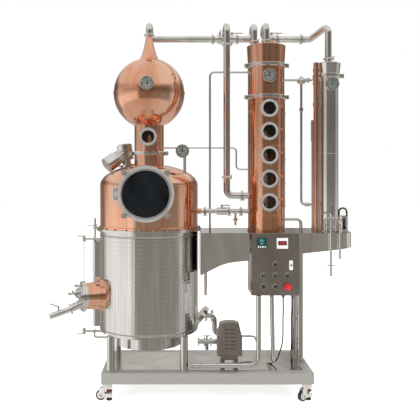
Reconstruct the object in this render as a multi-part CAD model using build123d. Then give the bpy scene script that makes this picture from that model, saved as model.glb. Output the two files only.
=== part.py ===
from build123d import *
import math
import os

# Copper hybrid still on a wheeled skid: jacketed pot, copper hood and onion head, plate column,
# condenser, control box, pump and levelling casters. Millimetres. The sizes below are measured
# from the pot's axis (X right, Y back, Z up from the floor); at the end everything is moved so
# that the origin is the middle of the footprint.

# ---- driving dimensions ----
FRAME_LEFT, FRAME_RIGHT = -331, 1206
FRAME_HALF_DEPTH = 308
FRAME_TUBE = 80
FRAME_TOP = 204
FRAME_BOTTOM = FRAME_TOP - FRAME_TUBE
CROSS_TUBE_X = (330, 760)
DECK_THICK = 3
LEG_X, LEG_Y, LEG_RADIUS = 268, 255, 29
POSTS = ((1157, -10), (1157, 205))

POT_RADIUS = 375
POT_WALL = 3
JACKET_GAP = 24
POT_BOTTOM = 460
POT_TOP = 1216
SKIRT_RADIUS = 250
SKIRT_BOTTOM = 352
DISH_DEPTH = 14
FLANGE_RADIUS = 400
FLANGE_THICK = 12

HOOD_BASE = POT_TOP + FLANGE_THICK
SHOULDER_Z = 1558
SHOULDER_RISE = 161.5
COPPER_WALL = 3
NECK_RADIUS = 113
NECK_CLAMP_Z = 1801
SPHERE_RADIUS = 272
SPHERE_Z = 2263
CONE_TOP_Z = 2698
CONE_TOP_RADIUS = 25.4

MANWAY_Z = 1500
MANWAY_RADIUS = 199
MANWAY_GLASS_RADIUS = 174
MANWAY_FACE_Y = -446
MANWAY_LUG_RADIUS = 212
MANWAY_HINGE = (-228, -454)
DOOR_THICK = 16

VAPOUR_RADIUS = 25.4
VAPOUR_Y = 150
VAPOUR_Z = 2716
GOOSENECK_Z = 2790
DOWNCOMER_X = 598
DOWNCOMER_INLET_Z = 1478
RETURN_Z = 1358
RETURN_RADIUS = 19
HEAD_INLET_X = 812

COLUMN_X = 901
COLUMN_RADIUS = 140
COLUMN_RING_Z = (2231, 2472)
COLUMN_TOP = 2636
HEAD_FLARE, HEAD_CROWN = 8, 14
SIGHT_Z = (1434, 1608, 1783, 1961, 2132)
SIGHT_FACE_Y = -178
SIGHT_RING_RADIUS = 68
SIGHT_GLASS_RADIUS = 48

CONDENSER_X = 1380
CONDENSER_RADIUS = 76
CONDENSER_RING_Z = 2395
CONDENSER_TOP = 2506
CONDENSER_BOTTOM = 1100
CONDENSER_FLANGE = 84
CONDENSER_HEAD = 93
RISER = (1272, -62)
AIR_TUBE = (1262, 20)
AIR_TUBE_TOP = 2060
SIDE_PIPE_X = 1176
SIDE_PIPE_Z = (1409, 2371)

PLATFORM_LEFT, PLATFORM_RIGHT = 388, 1510
PLATFORM_FRONT, PLATFORM_BACK = -270, 250
PLATFORM_TOP = 1212
SHEET = 3
SAFE = (1448, -170, PLATFORM_TOP)

BOX_LEFT, BOX_RIGHT = 758, 1102
BOX_BOTTOM, BOX_TOP = 762, 1206
BOX_FRONT, BOX_BACK = -290, -20
PANEL_THICK = 14
PANEL_HINGE = (BOX_LEFT - 5, BOX_FRONT + 4)

OUTLET_ANGLE = 18
OUTLET_Z = 732
OUTLET_RADIUS = 96
OUTLET_FACE = 507
OUTLET_LID_RADIUS = 112
OUTLET_HINGE_SIDE = -128
OUTLET_LEVER_AT = (OUTLET_FACE + 183, 0, -80)
SPOUT = ((OUTLET_FACE + 98, 0, -91), (OUTLET_FACE + 247, 0, -135))

GAUGE_RADIUS = 48
GAUGE_DEPTH = 26

MIXER_FOOT = (-175, 90)
MIXER_TILT = 8
MIXER_MOTOR_WAY = (-0.72, -0.42, -0.55)
MIXER_SHAFT_LENGTH = 1000

PUMP_X = 604
PUMP_FRONT = -220
PUMP_AXIS_Z = 410
PUMP_COVER_DEPTH = 90

CASTER_X = (FRAME_LEFT + 40, FRAME_RIGHT - 45)
CASTER_Y = (-FRAME_HALF_DEPTH + 40, FRAME_HALF_DEPTH - 40)
CASTER_OFFSET = 46
FOOT_OFFSET = -15
WHEEL_RADIUS = 36
WHEEL_WIDTH = 24
WHEEL_LIFT = 2

LEVEL_X, LEVEL_Y = -511, 60
LEVEL_Z = (410, 1150)

# Clamps are bored this much larger than their tubes.
CLAMP_GAP = 0.2

# Middle of each dial's back, by name.
GAUGES = {"onion_gauge": (0, -285, 2300), "column_gauge": (COLUMN_X, -170, 2373),
          "condenser_gauge": (CONDENSER_X + 8, -84, 2326), "pot_gauge": (256, -120, 1815)}

# name: (pivot point on the valve's stem, direction of the lever at rest, lever length)
LEVERS = {"vapour_valve_lever": ((554, VAPOUR_Y, VAPOUR_Z + 44), (0, -1, 0), 86),
          "bypass_valve_lever": ((649, VAPOUR_Y, VAPOUR_Z + 44), (1, 0, 0), 86),
          "column_valve_lever": ((COLUMN_X + 62, VAPOUR_Y, VAPOUR_Z + 44), (1, 0, 0), 86),
          "return_valve_lever": ((560, 0, RETURN_Z + 40), (1, 0, 0), 62),
          "level_cock_lever_top": ((LEVEL_X, LEVEL_Y, LEVEL_Z[1] + 6), (-1, 0, 0), 54),
          "level_cock_lever_bottom": ((LEVEL_X, LEVEL_Y, LEVEL_Z[0] - 6), (-1, 0, 0), 54)}


def panel_point(column, row):
    """Centres of the panel's fittings: column 0 to 2 from the left, row 0 at the bottom."""
    return (841 + 87 * column, 827 + 82 * row)


PANEL_KNOBS = {"selector_knob": panel_point(1, 2), "heater_switch": panel_point(0, 1),
               "pump_switch": panel_point(1, 1), "mixer_switch": panel_point(2, 1)}
STOP_AT = panel_point(2, 0)
LAMPS_AT = (panel_point(0, 0), panel_point(1, 0))


# ---- shape helpers ----
def rod(start, end, radius, bore=0):
    """Round bar from start to end, or a tube when a bore radius is given."""
    direction = Vector(*end) - Vector(*start)
    place = Plane(origin=start, z_dir=direction)
    body = Solid.make_cylinder(radius, direction.length, place)
    if bore:
        body = body - Solid.make_cylinder(bore, direction.length, place)
    return body


def block(x0, x1, y0, y1, z0, z1):
    """Box between two corners."""
    return Pos((x0 + x1) / 2, (y0 + y1) / 2, (z0 + z1) / 2) * Box(x1 - x0, y1 - y0, z1 - z0)


def turned(*outline, x=0, y=0):
    """Solid of revolution about a vertical axis; outline points are (radius, height)."""
    face = make_face(Plane.XZ * Polyline(*outline, close=True))
    return Pos(x, y, 0) * revolve(face, axis=Axis.Z)


def pipe(points, radius, bend, wall=2):
    """Bent tube that follows straight runs joined by bends of one radius."""
    path = FilletPolyline(*points, radius=bend) if len(points) > 2 else Line(*points)
    start = Plane(origin=path @ 0, z_dir=path % 0)
    return sweep(start * (Circle(radius) - Circle(radius - wall)), path=path)


def clamp(centre, axis, radius, screw=(0, -1, 0)):
    """Hinged pipe clamp: bevelled ring round a tube, with its screw and wing nut."""
    place = Plane(origin=centre, z_dir=axis)
    bore = radius + CLAMP_GAP
    outline = [(bore, -8), (radius + 9, -8), (radius + 14, -4), (radius + 14, 4), (radius + 9, 8), (bore, 8)]
    ring = place * turned(*outline)
    lug_at = Vector(*centre) + Vector(*screw).normalized() * (radius + 18)
    along = Vector(*axis).cross(Vector(*screw)).normalized()
    lug = rod(lug_at - along * 12, lug_at + along * 12, 7)
    nut = rod(lug_at + along * 12, lug_at + along * 24, 10)
    return ring + lug + nut


def flange_clamp(x, y, z, radius, headings):
    """Heavy grooved ring round a vessel's flanges, with a screwed lug at each heading in degrees."""
    inner = radius + CLAMP_GAP
    low, high = inner + 9, inner + 13
    outline = [(inner, z - 14), (low, z - 14), (high, z - 10), (high, z - 3), (low, z - 2), (low, z + 2),
               (high, z + 3), (high, z + 10), (low, z + 14), (inner, z + 14)]
    ring = turned(*outline, x=x, y=y)
    for heading in headings:
        angle = math.radians(heading)
        along = Vector(-math.sin(angle), math.cos(angle), 0)
        lug = Vector(x, y, z) + Vector(math.cos(angle), math.sin(angle), 0) * (radius + 22)
        ring += rod(tuple(lug - Vector(0, 0, 15)), tuple(lug + Vector(0, 0, 15)), 12)
        ring += rod(tuple(lug - along * 18), tuple(lug + along * 34), 5)
        ring += rod(tuple(lug + along * 15), tuple(lug + along * 25), 9)
    return ring


def bolts(centre, axis, ring_radius, count, radius, length):
    """Circle of round-headed bolts; axis points along them."""
    place = Plane(origin=centre, z_dir=axis)
    group = []
    for step in range(count):
        angle = math.radians(360 * (step + 0.5) / count)
        spot = Pos(ring_radius * math.cos(angle), ring_radius * math.sin(angle), length / 2)
        group.append(place * spot * Cylinder(radius, length))
    return group


# ---- frame ----
def frame_tubes(inset):
    """Ladder of square tubes; a positive inset gives the space inside their walls."""
    left, right = FRAME_LEFT, FRAME_RIGHT
    back, wide = FRAME_HALF_DEPTH, FRAME_TUBE
    low, high = FRAME_BOTTOM + inset, FRAME_TOP - inset
    ladder = block(left + inset, right - inset, -back + inset, back - inset, low, high)
    margin = wide - inset
    ladder -= block(left + margin, right - margin, -back + margin, back - margin, low, high)
    for x in CROSS_TUBE_X:
        ladder += block(x + inset, x + wide - inset, -back + wide - inset, back - wide + inset, low, high)
    return ladder


def base_frame():
    frame = frame_tubes(0) - frame_tubes(4)
    for x in (FRAME_LEFT + 150, FRAME_RIGHT - 150):
        y = -FRAME_HALF_DEPTH + 40
        frame -= rod((x, y, FRAME_BOTTOM - 1), (x, y, FRAME_BOTTOM + 6), 6)
    deck = block(FRAME_LEFT + 70, FRAME_RIGHT - 70, -FRAME_HALF_DEPTH + 70, FRAME_HALF_DEPTH - 70,
                 FRAME_TOP, FRAME_TOP + DECK_THICK)
    frame += deck
    for x in (-LEG_X, LEG_X):
        for y in (-LEG_Y, LEG_Y):
            frame += rod((x, y, FRAME_TOP), (x, y, POT_BOTTOM), LEG_RADIUS)
    for x, y in POSTS:
        frame += rod((x, y, FRAME_TOP), (x, y, FRAME_TOP + 10), 44)
        frame += rod((x, y, FRAME_TOP), (x, y, PLATFORM_TOP - SHEET), 29)
    return frame


# ---- pot, hood and head ----
def kettle():
    wall = POT_RADIUS - POT_WALL
    liner = wall - JACKET_GAP

    def vessel(shrink, radius, floor):
        form = rod((0, 0, floor), (0, 0, POT_TOP + FLANGE_THICK), radius)
        form += rod((0, 0, SKIRT_BOTTOM), (0, 0, floor), SKIRT_RADIUS - shrink)
        return form + Pos(0, 0, SKIRT_BOTTOM) * dish_solid(SKIRT_RADIUS - 1 - shrink, DISH_DEPTH - shrink)

    body = vessel(0, POT_RADIUS, POT_BOTTOM)
    body += rod((0, 0, POT_TOP), (0, 0, POT_TOP + FLANGE_THICK), FLANGE_RADIUS)
    cover = block(-441, -320, 12, 165, 470, 1120)
    cover = fillet(cover.edges().filter_by(Axis.Z).group_by(Axis.X)[0], 25)
    body += cover
    jacket_space = rod((0, 0, POT_BOTTOM + 26), (0, 0, POT_TOP - 30), wall, liner)
    return body - vessel(POT_WALL, liner - POT_WALL, POT_BOTTOM + 16) - jacket_space


def dish_solid(radius, depth):
    """Downward dished end: half an ellipsoid below the plane z = 0."""
    curve = EllipticalCenterArc((0, 0), radius, depth, start_angle=270, arc_size=90)
    outline = curve + Line((radius, 0), (0, 0)) + Line((0, 0), (0, -depth))
    return revolve(make_face(Plane.XZ * outline), axis=Axis.Z)


def dome(radius, base, rise):
    """Upright shell outline: half an ellipsoid above the plane z = base."""
    curve = EllipticalCenterArc((0, base), radius, rise, start_angle=0, arc_size=90)
    outline = curve + Line((0, base + rise), (0, base)) + Line((0, base), (radius, base))
    return revolve(make_face(Plane.XZ * outline), axis=Axis.Z)


def hood_form(shrink=0):
    """Outside form of the copper hood, or its inside when shrunk by the wall."""
    radius = POT_RADIUS - shrink
    form = turned((0, HOOD_BASE), (radius, HOOD_BASE), (radius, SHOULDER_Z), (0, SHOULDER_Z))
    form += dome(radius, SHOULDER_Z, SHOULDER_RISE - shrink)
    form += rod((0, 0, SHOULDER_Z), (0, 0, NECK_CLAMP_Z), NECK_RADIUS - shrink)
    return form


def mixer_line(distance):
    """Point on the mixer's tilted axis, measured up from the hood's shoulder."""
    angle = math.radians(MIXER_TILT)
    radius = math.hypot(*MIXER_FOOT)
    height = SHOULDER_Z + SHOULDER_RISE * math.sqrt(1 - (radius / POT_RADIUS) ** 2)
    return (MIXER_FOOT[0] - distance * math.sin(angle), MIXER_FOOT[1], height + distance * math.cos(angle))


def hood():
    form = hood_form()
    form += turned((0, HOOD_BASE), (FLANGE_RADIUS, HOOD_BASE), (FLANGE_RADIUS, HOOD_BASE + 6),
                   (POT_RADIUS + 8, HOOD_BASE + 6), (POT_RADIUS + 8, HOOD_BASE + 22),
                   (POT_RADIUS, HOOD_BASE + 26), (0, HOOD_BASE + 26))
    form += rod((0, 0, NECK_CLAMP_Z - 14), (0, 0, NECK_CLAMP_Z), NECK_RADIUS + 6)
    form += rod((300, 0, RETURN_Z), (400, 0, RETURN_Z), RETURN_RADIUS + 2)
    form -= hood_form(COPPER_WALL)
    form -= rod((300, 0, RETURN_Z), (400, 0, RETURN_Z), RETURN_RADIUS)
    form -= rod((0, -200, MANWAY_Z), (0, -600, MANWAY_Z), MANWAY_RADIUS - 9)
    form -= rod((0, 0, 1200), (0, 0, HOOD_BASE + 1), POT_RADIUS - COPPER_WALL)
    form -= rod(mixer_line(-80), mixer_line(80), 24)
    return form


def flange_bolts():
    """Screws that hold the hood down on the pot's flange."""
    return bolts((0, 0, HOOD_BASE + 6), (0, 0, 1), FLANGE_RADIUS - 8, 24, 6, 9)


def onion_head():
    joint = math.sqrt(SPHERE_RADIUS ** 2 - NECK_RADIUS ** 2)
    cone_radius = 81
    cone_base = SPHERE_Z + math.sqrt(SPHERE_RADIUS ** 2 - cone_radius ** 2)

    def form(shrink):
        ball = Pos(0, 0, SPHERE_Z) * Sphere(SPHERE_RADIUS - shrink)
        neck = rod((0, 0, NECK_CLAMP_Z), (0, 0, SPHERE_Z - joint + 20), NECK_RADIUS - shrink)
        side = Spline((cone_radius - shrink, cone_base - 6), (68 - shrink, cone_base + 16),
                      (44 - shrink, cone_base + 80), (CONE_TOP_RADIUS - shrink, CONE_TOP_Z))
        outline = side + Polyline((CONE_TOP_RADIUS - shrink, CONE_TOP_Z), (0, CONE_TOP_Z),
                                  (0, cone_base - 6), (cone_radius - shrink, cone_base - 6))
        return ball + neck + revolve(make_face(Plane.XZ * outline), axis=Axis.Z)

    shell = form(0)
    shell += rod((0, 0, SPHERE_Z - 9), (0, 0, SPHERE_Z + 9), SPHERE_RADIUS + 3)
    shell += rod((0, 0, NECK_CLAMP_Z), (0, 0, NECK_CLAMP_Z + 14), NECK_RADIUS + 6)
    shell += rod((0, -60, 1922), (0, -150, 1922), 50)
    shell += rod((0, -200, 2300), (0, -285, 2300), 12)
    shell -= rod((0, -60, 1922), (0, -150, 1922), 46)
    shell -= form(COPPER_WALL)
    return shell


def manway_frame():
    ring = rod((0, -60, MANWAY_Z), (0, MANWAY_FACE_Y, MANWAY_Z), MANWAY_RADIUS - 9, MANWAY_RADIUS - 13)
    ring -= hood_form()
    ring = max(ring.solids(), key=lambda piece: piece.volume)
    ring += rod((0, MANWAY_FACE_Y + 14, MANWAY_Z), (0, MANWAY_FACE_Y, MANWAY_Z), MANWAY_RADIUS,
                MANWAY_GLASS_RADIUS)
    for spot in manway_lugs():
        ring += rod((spot[0], MANWAY_FACE_Y + 14, spot[1]), (spot[0], MANWAY_FACE_Y, spot[1]), 20)
    x, y = MANWAY_HINGE
    for low, high in ((-42, -18), (18, 42)):
        low_z, high_z = MANWAY_Z + low, MANWAY_Z + high
        ring += rod((x, y, low_z), (x, y, high_z), 9)
        ring += block(x, -MANWAY_RADIUS + 18, MANWAY_FACE_Y + 1, MANWAY_FACE_Y + 12, low_z, high_z)
        ring += block(x, -MANWAY_RADIUS - 6, y, MANWAY_FACE_Y + 12, low_z, high_z)
    ring += rod((x, y, MANWAY_Z - 42), (x, y, MANWAY_Z + 42), 4)
    return ring


def manway_lugs():
    """Centres of the four clamping lugs, on the diagonals, as (x, z)."""
    reach = MANWAY_LUG_RADIUS * math.sqrt(0.5)
    return [(sx * reach, MANWAY_Z + sz * reach) for sx in (-1, 1) for sz in (-1, 1)]


def manway_door():
    back = MANWAY_FACE_Y - 0.5
    front = back - DOOR_THICK
    ring = rod((0, back, MANWAY_Z), (0, front, MANWAY_Z), MANWAY_RADIUS, MANWAY_GLASS_RADIUS - 5)
    ring -= rod((0, back, MANWAY_Z), (0, back - 12, MANWAY_Z), MANWAY_GLASS_RADIUS)
    for x, z in manway_lugs():
        ring += rod((x, back, z), (x, front, z), 20)
    for x, z in manway_lugs():
        ring -= rod((x, back, z), (x, front, z), 6.2)
    x, y = MANWAY_HINGE
    ring += block(x, -MANWAY_RADIUS + 12, front + 2, front + 9, MANWAY_Z - 16, MANWAY_Z + 16)
    ring += rod((x, y, MANWAY_Z - 16), (x, y, MANWAY_Z + 16), 9)
    return ring - rod((x, y, MANWAY_Z - 16), (x, y, MANWAY_Z + 16), 4.3)


def manway_glass():
    back = MANWAY_FACE_Y - 0.5
    return rod((0, back, MANWAY_Z), (0, back - 12, MANWAY_Z), MANWAY_GLASS_RADIUS)


def manway_knobs():
    back = MANWAY_FACE_Y - 0.5
    front = back - DOOR_THICK
    group = []
    for x, z in manway_lugs():
        knob = rod((x, back - 1, z), (x, front - 8, z), 6)
        knob += rod((x, front, z), (x, front - 12, z), 11)
        group.append(knob + rod((x, front - 12, z), (x, front - 26, z), 17))
    return group


# ---- vapour lines ----
def vapour_lines():
    y, line, top, inlet, down = VAPOUR_Y, VAPOUR_Z, GOOSENECK_Z, HEAD_INLET_X, DOWNCOMER_X
    pot_line = pipe([(0, 0, CONE_TOP_Z), (0, 0, top), (0, y, top), (0, y, line), (inlet, y, line),
                     (inlet, y, top), (inlet, 30, top), (inlet, 30, COLUMN_TOP - 10)], VAPOUR_RADIUS, 36)
    branch = pipe([(down, y, line + 10), (down, y, top), (down, 0, top), (down, 0, DOWNCOMER_INLET_Z),
                   (COLUMN_X - 120, 0, DOWNCOMER_INLET_Z)], VAPOUR_RADIUS, 45)
    branch -= rod((down - 60, y, line), (down + 60, y, line), VAPOUR_RADIUS)
    head_line = pipe([(COLUMN_X, 0, COLUMN_TOP - 10), (COLUMN_X, 0, top), (COLUMN_X, y, top),
                      (COLUMN_X, y, line), (1270, y, line), (CONDENSER_X, 0, top),
                      (CONDENSER_X, 0, CONDENSER_TOP - 5)], VAPOUR_RADIUS, 36)
    cut = column_form() + condenser_form()
    return [piece - cut for piece in (pot_line, branch, head_line)]


def pipe_clamps():
    z_axis, x_axis = (0, 0, 1), (1, 0, 0)
    group = [flange_clamp(0, 0, NECK_CLAMP_Z, NECK_RADIUS + 6, (-17, 197))]
    group.append(clamp((0, 0, CONE_TOP_Z + 14), z_axis, VAPOUR_RADIUS))
    for x in (498, 690, 1010, 1200):
        group.append(clamp((x, VAPOUR_Y, VAPOUR_Z), x_axis, VAPOUR_RADIUS))
    for x, y, z in ((DOWNCOMER_X, 0, 2640), (DOWNCOMER_X, 0, 1620), (COLUMN_X, 0, COLUMN_TOP + 30),
                    (HEAD_INLET_X, 30, COLUMN_TOP + 30), (CONDENSER_X, 0, CONDENSER_TOP + 24)):
        group.append(clamp((x, y, z), z_axis, VAPOUR_RADIUS))
    group.append(clamp((715, 0, DOWNCOMER_INLET_Z), x_axis, VAPOUR_RADIUS))
    for x in (430, 615, 705):
        group.append(clamp((x, 0, RETURN_Z), x_axis, RETURN_RADIUS))
    for z in COLUMN_RING_Z:
        group.append(flange_clamp(COLUMN_X, 0, z, COLUMN_RADIUS, (-12, 192)))
    group.append(flange_clamp(CONDENSER_X, 0, CONDENSER_RING_Z, CONDENSER_FLANGE, (-12, 165)))
    return group


# ---- column ----
def column_head_form(shrink=0):
    """Flared head on top of the column, with a low crown."""
    base, corner = COLUMN_RING_Z[1], COLUMN_TOP - HEAD_CROWN
    narrow, wide = COLUMN_RADIUS - shrink, COLUMN_RADIUS + HEAD_FLARE - shrink
    form = turned((0, base), (narrow, base), (narrow, base + 16), (wide, corner), (0, corner), x=COLUMN_X)
    return form + Pos(COLUMN_X, 0, 0) * dome(wide, corner, HEAD_CROWN - shrink)


def column_form():
    """Solid form of the column's outside, used to trim the pipes that meet it."""
    shaft = rod((COLUMN_X, 0, PLATFORM_TOP), (COLUMN_X, 0, COLUMN_RING_Z[1]), COLUMN_RADIUS)
    return shaft + column_head_form()


def column_plug(heading, z):
    """Screwed plug on the column's side, at a heading in degrees from the right."""
    angle = math.radians(heading)
    return rod((COLUMN_X, 0, z), (COLUMN_X + 158 * math.cos(angle), 158 * math.sin(angle), z), 9)


def column_sections():
    low, high = COLUMN_RING_Z
    inside = COLUMN_RADIUS - COPPER_WALL
    plate_part = rod((COLUMN_X, 0, PLATFORM_TOP), (COLUMN_X, 0, low), COLUMN_RADIUS)
    plate_part += rod((COLUMN_X, 0, PLATFORM_TOP), (COLUMN_X, 0, PLATFORM_TOP + 8), COLUMN_RADIUS + 7)
    for z in SIGHT_Z:
        plate_part += rod((COLUMN_X, -60, z), (COLUMN_X, SIGHT_FACE_Y, z), 55)
        plate_part += column_plug(-50, z + 20)
    plate_part += column_plug(205, SIGHT_Z[-1] - 17)
    plate_part -= rod((COLUMN_X, 0, PLATFORM_TOP), (COLUMN_X, 0, low), inside)
    for z in SIGHT_Z:
        plate_part -= rod((COLUMN_X, -60, z), (COLUMN_X, SIGHT_FACE_Y, z), 52)
    plate_part = max(plate_part.solids(), key=lambda piece: piece.volume)
    middle = rod((COLUMN_X, 0, low), (COLUMN_X, 0, high), COLUMN_RADIUS, inside)
    middle += rod((COLUMN_X, -inside, 2373), (COLUMN_X, -170, 2373), 12)
    return [plate_part, middle, column_head_form() - column_head_form(COPPER_WALL)]


def column_trays():
    """Perforated plates inside the column, one under each sight glass, each with a bubble cap."""
    inside = COLUMN_RADIUS - COPPER_WALL
    group = []
    for z in SIGHT_Z:
        tray = rod((COLUMN_X, 0, z - 62), (COLUMN_X, 0, z - 58), inside)
        for step in range(6):
            angle = math.radians(60 * step)
            spot = (COLUMN_X + 92 * math.cos(angle), 92 * math.sin(angle))
            tray -= rod((*spot, z - 63), (*spot, z - 57), 12)
        tray += rod((COLUMN_X, 0, z - 58), (COLUMN_X, 0, z - 20), 42)
        group.append(tray)
    return group


def sight_rings():
    spots = [(COLUMN_X, SIGHT_FACE_Y, z) for z in SIGHT_Z] + [(0, -150, 1922)]
    group = []
    for x, y, z in spots:
        ring = rod((x, y, z), (x, y - 14, z), SIGHT_RING_RADIUS, SIGHT_GLASS_RADIUS)
        group.append(ring + rod((x, y - 14, z), (x, y - 20, z), SIGHT_RING_RADIUS - 6, SIGHT_GLASS_RADIUS))
    return group


def clear_parts():
    """Clear pieces: the sight glasses, the level tube and the spirit safe's bell."""
    spots = [(COLUMN_X, SIGHT_FACE_Y, z) for z in SIGHT_Z] + [(0, -150, 1922)]
    group = [rod((x, y - 8, z), (x, y - 16, z), SIGHT_GLASS_RADIUS) for x, y, z in spots]
    group.append(rod((LEVEL_X, LEVEL_Y, LEVEL_Z[0] + 30), (LEVEL_X, LEVEL_Y, LEVEL_Z[1] - 30), 6))
    for x, y, z in GAUGES.values():
        group.append(rod((x, y - 21, z), (x, y - 24, z), GAUGE_RADIUS - 5.2))
    x, y, z = SAFE
    group.append(rod((x, y, z + 120), (x, y, z + 150), 36, 33) + Pos(x, y, z + 150) * (
        dome(36, 0, 34) - dome(33, 0, 31)))
    return group


# ---- condenser and platform ----
def condenser_head_form(shrink=0):
    """Flared head on top of the condenser, with a low crown."""
    base, corner = CONDENSER_RING_Z, CONDENSER_TOP - 16
    narrow, wide = CONDENSER_FLANGE - shrink, CONDENSER_HEAD - shrink
    form = turned((0, base), (narrow, base), (narrow, base + 16), (wide, corner), (0, corner), x=CONDENSER_X)
    return form + Pos(CONDENSER_X, 0, 0) * dome(CONDENSER_HEAD - shrink, corner, 16 - shrink)


def condenser_form():
    """Solid form of the condenser's outside, used to trim the pipe that meets it."""
    x, ring = CONDENSER_X, CONDENSER_RING_Z
    form = rod((x, 0, CONDENSER_BOTTOM), (x, 0, ring), CONDENSER_RADIUS)
    form += rod((x, 0, ring - 14), (x, 0, ring), CONDENSER_FLANGE)
    return form + condenser_head_form()


def condenser_shell():
    shell = condenser_form()
    x, ring = CONDENSER_X, CONDENSER_RING_Z
    shell -= rod((x, 0, CONDENSER_BOTTOM + 4), (x, 0, ring + 1), CONDENSER_RADIUS - 3)
    shell -= condenser_head_form(3)
    shell += rod((CONDENSER_X, 0, CONDENSER_BOTTOM - 40), (CONDENSER_X, 0, CONDENSER_BOTTOM), 14)
    x, y, z = GAUGES["condenser_gauge"]
    return shell + rod((x, y + 14, z), (x, y, z), 12)


def condenser_tubes():
    """Tube bundle between two tube plates inside the condenser."""
    plates = rod((CONDENSER_X, 0, 1180), (CONDENSER_X, 0, 1188), CONDENSER_RADIUS - 3.5)
    plates += rod((CONDENSER_X, 0, 2372), (CONDENSER_X, 0, 2380), CONDENSER_RADIUS - 3.5)
    for step in range(6):
        angle = math.radians(60 * step + 30)
        spot = (CONDENSER_X + 42 * math.cos(angle), 42 * math.sin(angle))
        plates += rod((*spot, 1188), (*spot, 2372), 12)
    return plates + rod((CONDENSER_X, 0, 1188), (CONDENSER_X, 0, 2372), 12)


def platform():
    drop = Spline((PLATFORM_LEFT, 903), (470, 945), (560, 985), (700, 1008), (BOX_RIGHT, 1059),
                  (PLATFORM_RIGHT, 1106))
    outline = drop + Polyline((PLATFORM_RIGHT, 1106), (PLATFORM_RIGHT, PLATFORM_TOP),
                              (PLATFORM_LEFT, PLATFORM_TOP), (PLATFORM_LEFT, 903))
    side = make_face(Plane.XZ * outline)
    depth = PLATFORM_BACK - PLATFORM_FRONT
    body = Pos(0, PLATFORM_FRONT, 0) * extrude(side, amount=depth, dir=(0, 1, 0))
    right = body.edges().filter_by(Axis.Z).group_by(Axis.X)[-1]
    body = fillet(right, 110)
    mid_x, mid_y = (PLATFORM_LEFT + PLATFORM_RIGHT) / 2, (PLATFORM_BACK + PLATFORM_FRONT) / 2
    wide, deep = PLATFORM_RIGHT - PLATFORM_LEFT - 2 * SHEET, depth - 2 * SHEET
    core = Pos(mid_x, mid_y, 0) * extrude(RectangleRounded(wide, deep, 107), amount=PLATFORM_TOP - SHEET)
    front, back = PLATFORM_FRONT + SHEET, PLATFORM_BACK - SHEET
    core += block(PLATFORM_LEFT + SHEET, mid_x, front, back, 0, PLATFORM_TOP - SHEET)
    body -= core
    body -= block(BOX_LEFT - 14, BOX_RIGHT + 1, PLATFORM_FRONT - 5, BOX_BACK + 1, 700, BOX_TOP + 0.5)
    for x, y, radius in platform_holes():
        body -= rod((x, y, 1150), (x, y, PLATFORM_TOP + 5), radius)
    return body


def platform_holes():
    """Every round pipe or vessel that passes down through the platform's top."""
    return [(CONDENSER_X, 0, CONDENSER_RADIUS + 1), (*RISER, 19.5), (*AIR_TUBE, 8.5), (1157, -60, 13.5),
            (471, 60, 8.5)]


# ---- control box ----
def control_box():
    body = block(BOX_LEFT, BOX_RIGHT, BOX_FRONT + PANEL_THICK + 1, BOX_BACK, BOX_BOTTOM, BOX_TOP)
    body -= block(BOX_LEFT + 2, BOX_RIGHT - 2, BOX_FRONT, BOX_BACK - 2, BOX_BOTTOM + 2, BOX_TOP - 2)
    x, y = PANEL_HINGE
    for low, high in ((BOX_BOTTOM + 40, BOX_BOTTOM + 70), (BOX_TOP - 70, BOX_TOP - 40)):
        rear = BOX_FRONT + PANEL_THICK
        body += block(BOX_LEFT - 9, BOX_LEFT + 1, rear + 1, rear + 30, low, high)
        body += block(BOX_LEFT - 9, BOX_LEFT - 2, y, rear + 2, low, high)
        body += rod((x, y, low), (x, y, high), 4)
    for x in (811, 916, 1000, 1070):
        body += rod((x, -200, BOX_BOTTOM - 24), (x, -200, BOX_BOTTOM), 14 if x > 811 else 9)
    return body


def panel_door():
    front = BOX_FRONT
    door = block(BOX_LEFT + 1, BOX_RIGHT, front, front + PANEL_THICK, BOX_BOTTOM, BOX_TOP - 1)
    rear = front + PANEL_THICK
    door -= block(BOX_LEFT + 3, BOX_RIGHT - 2, front + 2, rear + 1, BOX_BOTTOM + 2, BOX_TOP - 3)
    for x, z in [*PANEL_KNOBS.values(), STOP_AT, *LAMPS_AT]:
        door -= rod((x, front - 1, z), (x, front + 3, z), 11)
    x, y = PANEL_HINGE
    door += rod((x, y, BOX_BOTTOM + 72), (x, y, BOX_BOTTOM + 102), 4)
    door += rod((x, y, BOX_TOP - 102), (x, y, BOX_TOP - 72), 4)
    for low in (BOX_BOTTOM + 72, BOX_TOP - 102):
        door += block(x, BOX_LEFT + 2, y - 2, y + 2, low, low + 30)
    return door


def panel_instruments():
    """Temperature controller, panel meter, two lamps and the door's latch."""
    front = BOX_FRONT
    controller = block(794, 867, front - 9, front, 1105, 1178)
    meter = block(939, 1019, front - 9, front, 1102, 1178)
    latch = fillet(block(1029, 1055, front - 8, front, 946, 1018).edges().filter_by(Axis.Y), 11)
    group = [controller, meter, latch]
    for x, z in LAMPS_AT:
        group.append(rod((x, front + 6, z), (x, front, z), 10.8) + rod((x, front, z), (x, front - 6, z), 15)
                     + rod((x, front - 6, z), (x, front - 16, z), 10))
    return group


def panel_knob(x, z):
    front = BOX_FRONT
    knob = rod((x, front + 6, z), (x, front - 1, z), 10.6)
    knob += rod((x, front - 1, z), (x, front - 7, z), 14)
    return knob + block(x - 4, x + 4, front - 20, front - 7, z - 13, z + 13)


def emergency_stop():
    x, z = STOP_AT
    front = BOX_FRONT
    stem = rod((x, front + 8, z), (x, front - 14, z), 10.6)
    return stem + rod((x, front - 14, z), (x, front - 26, z), 24)


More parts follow.
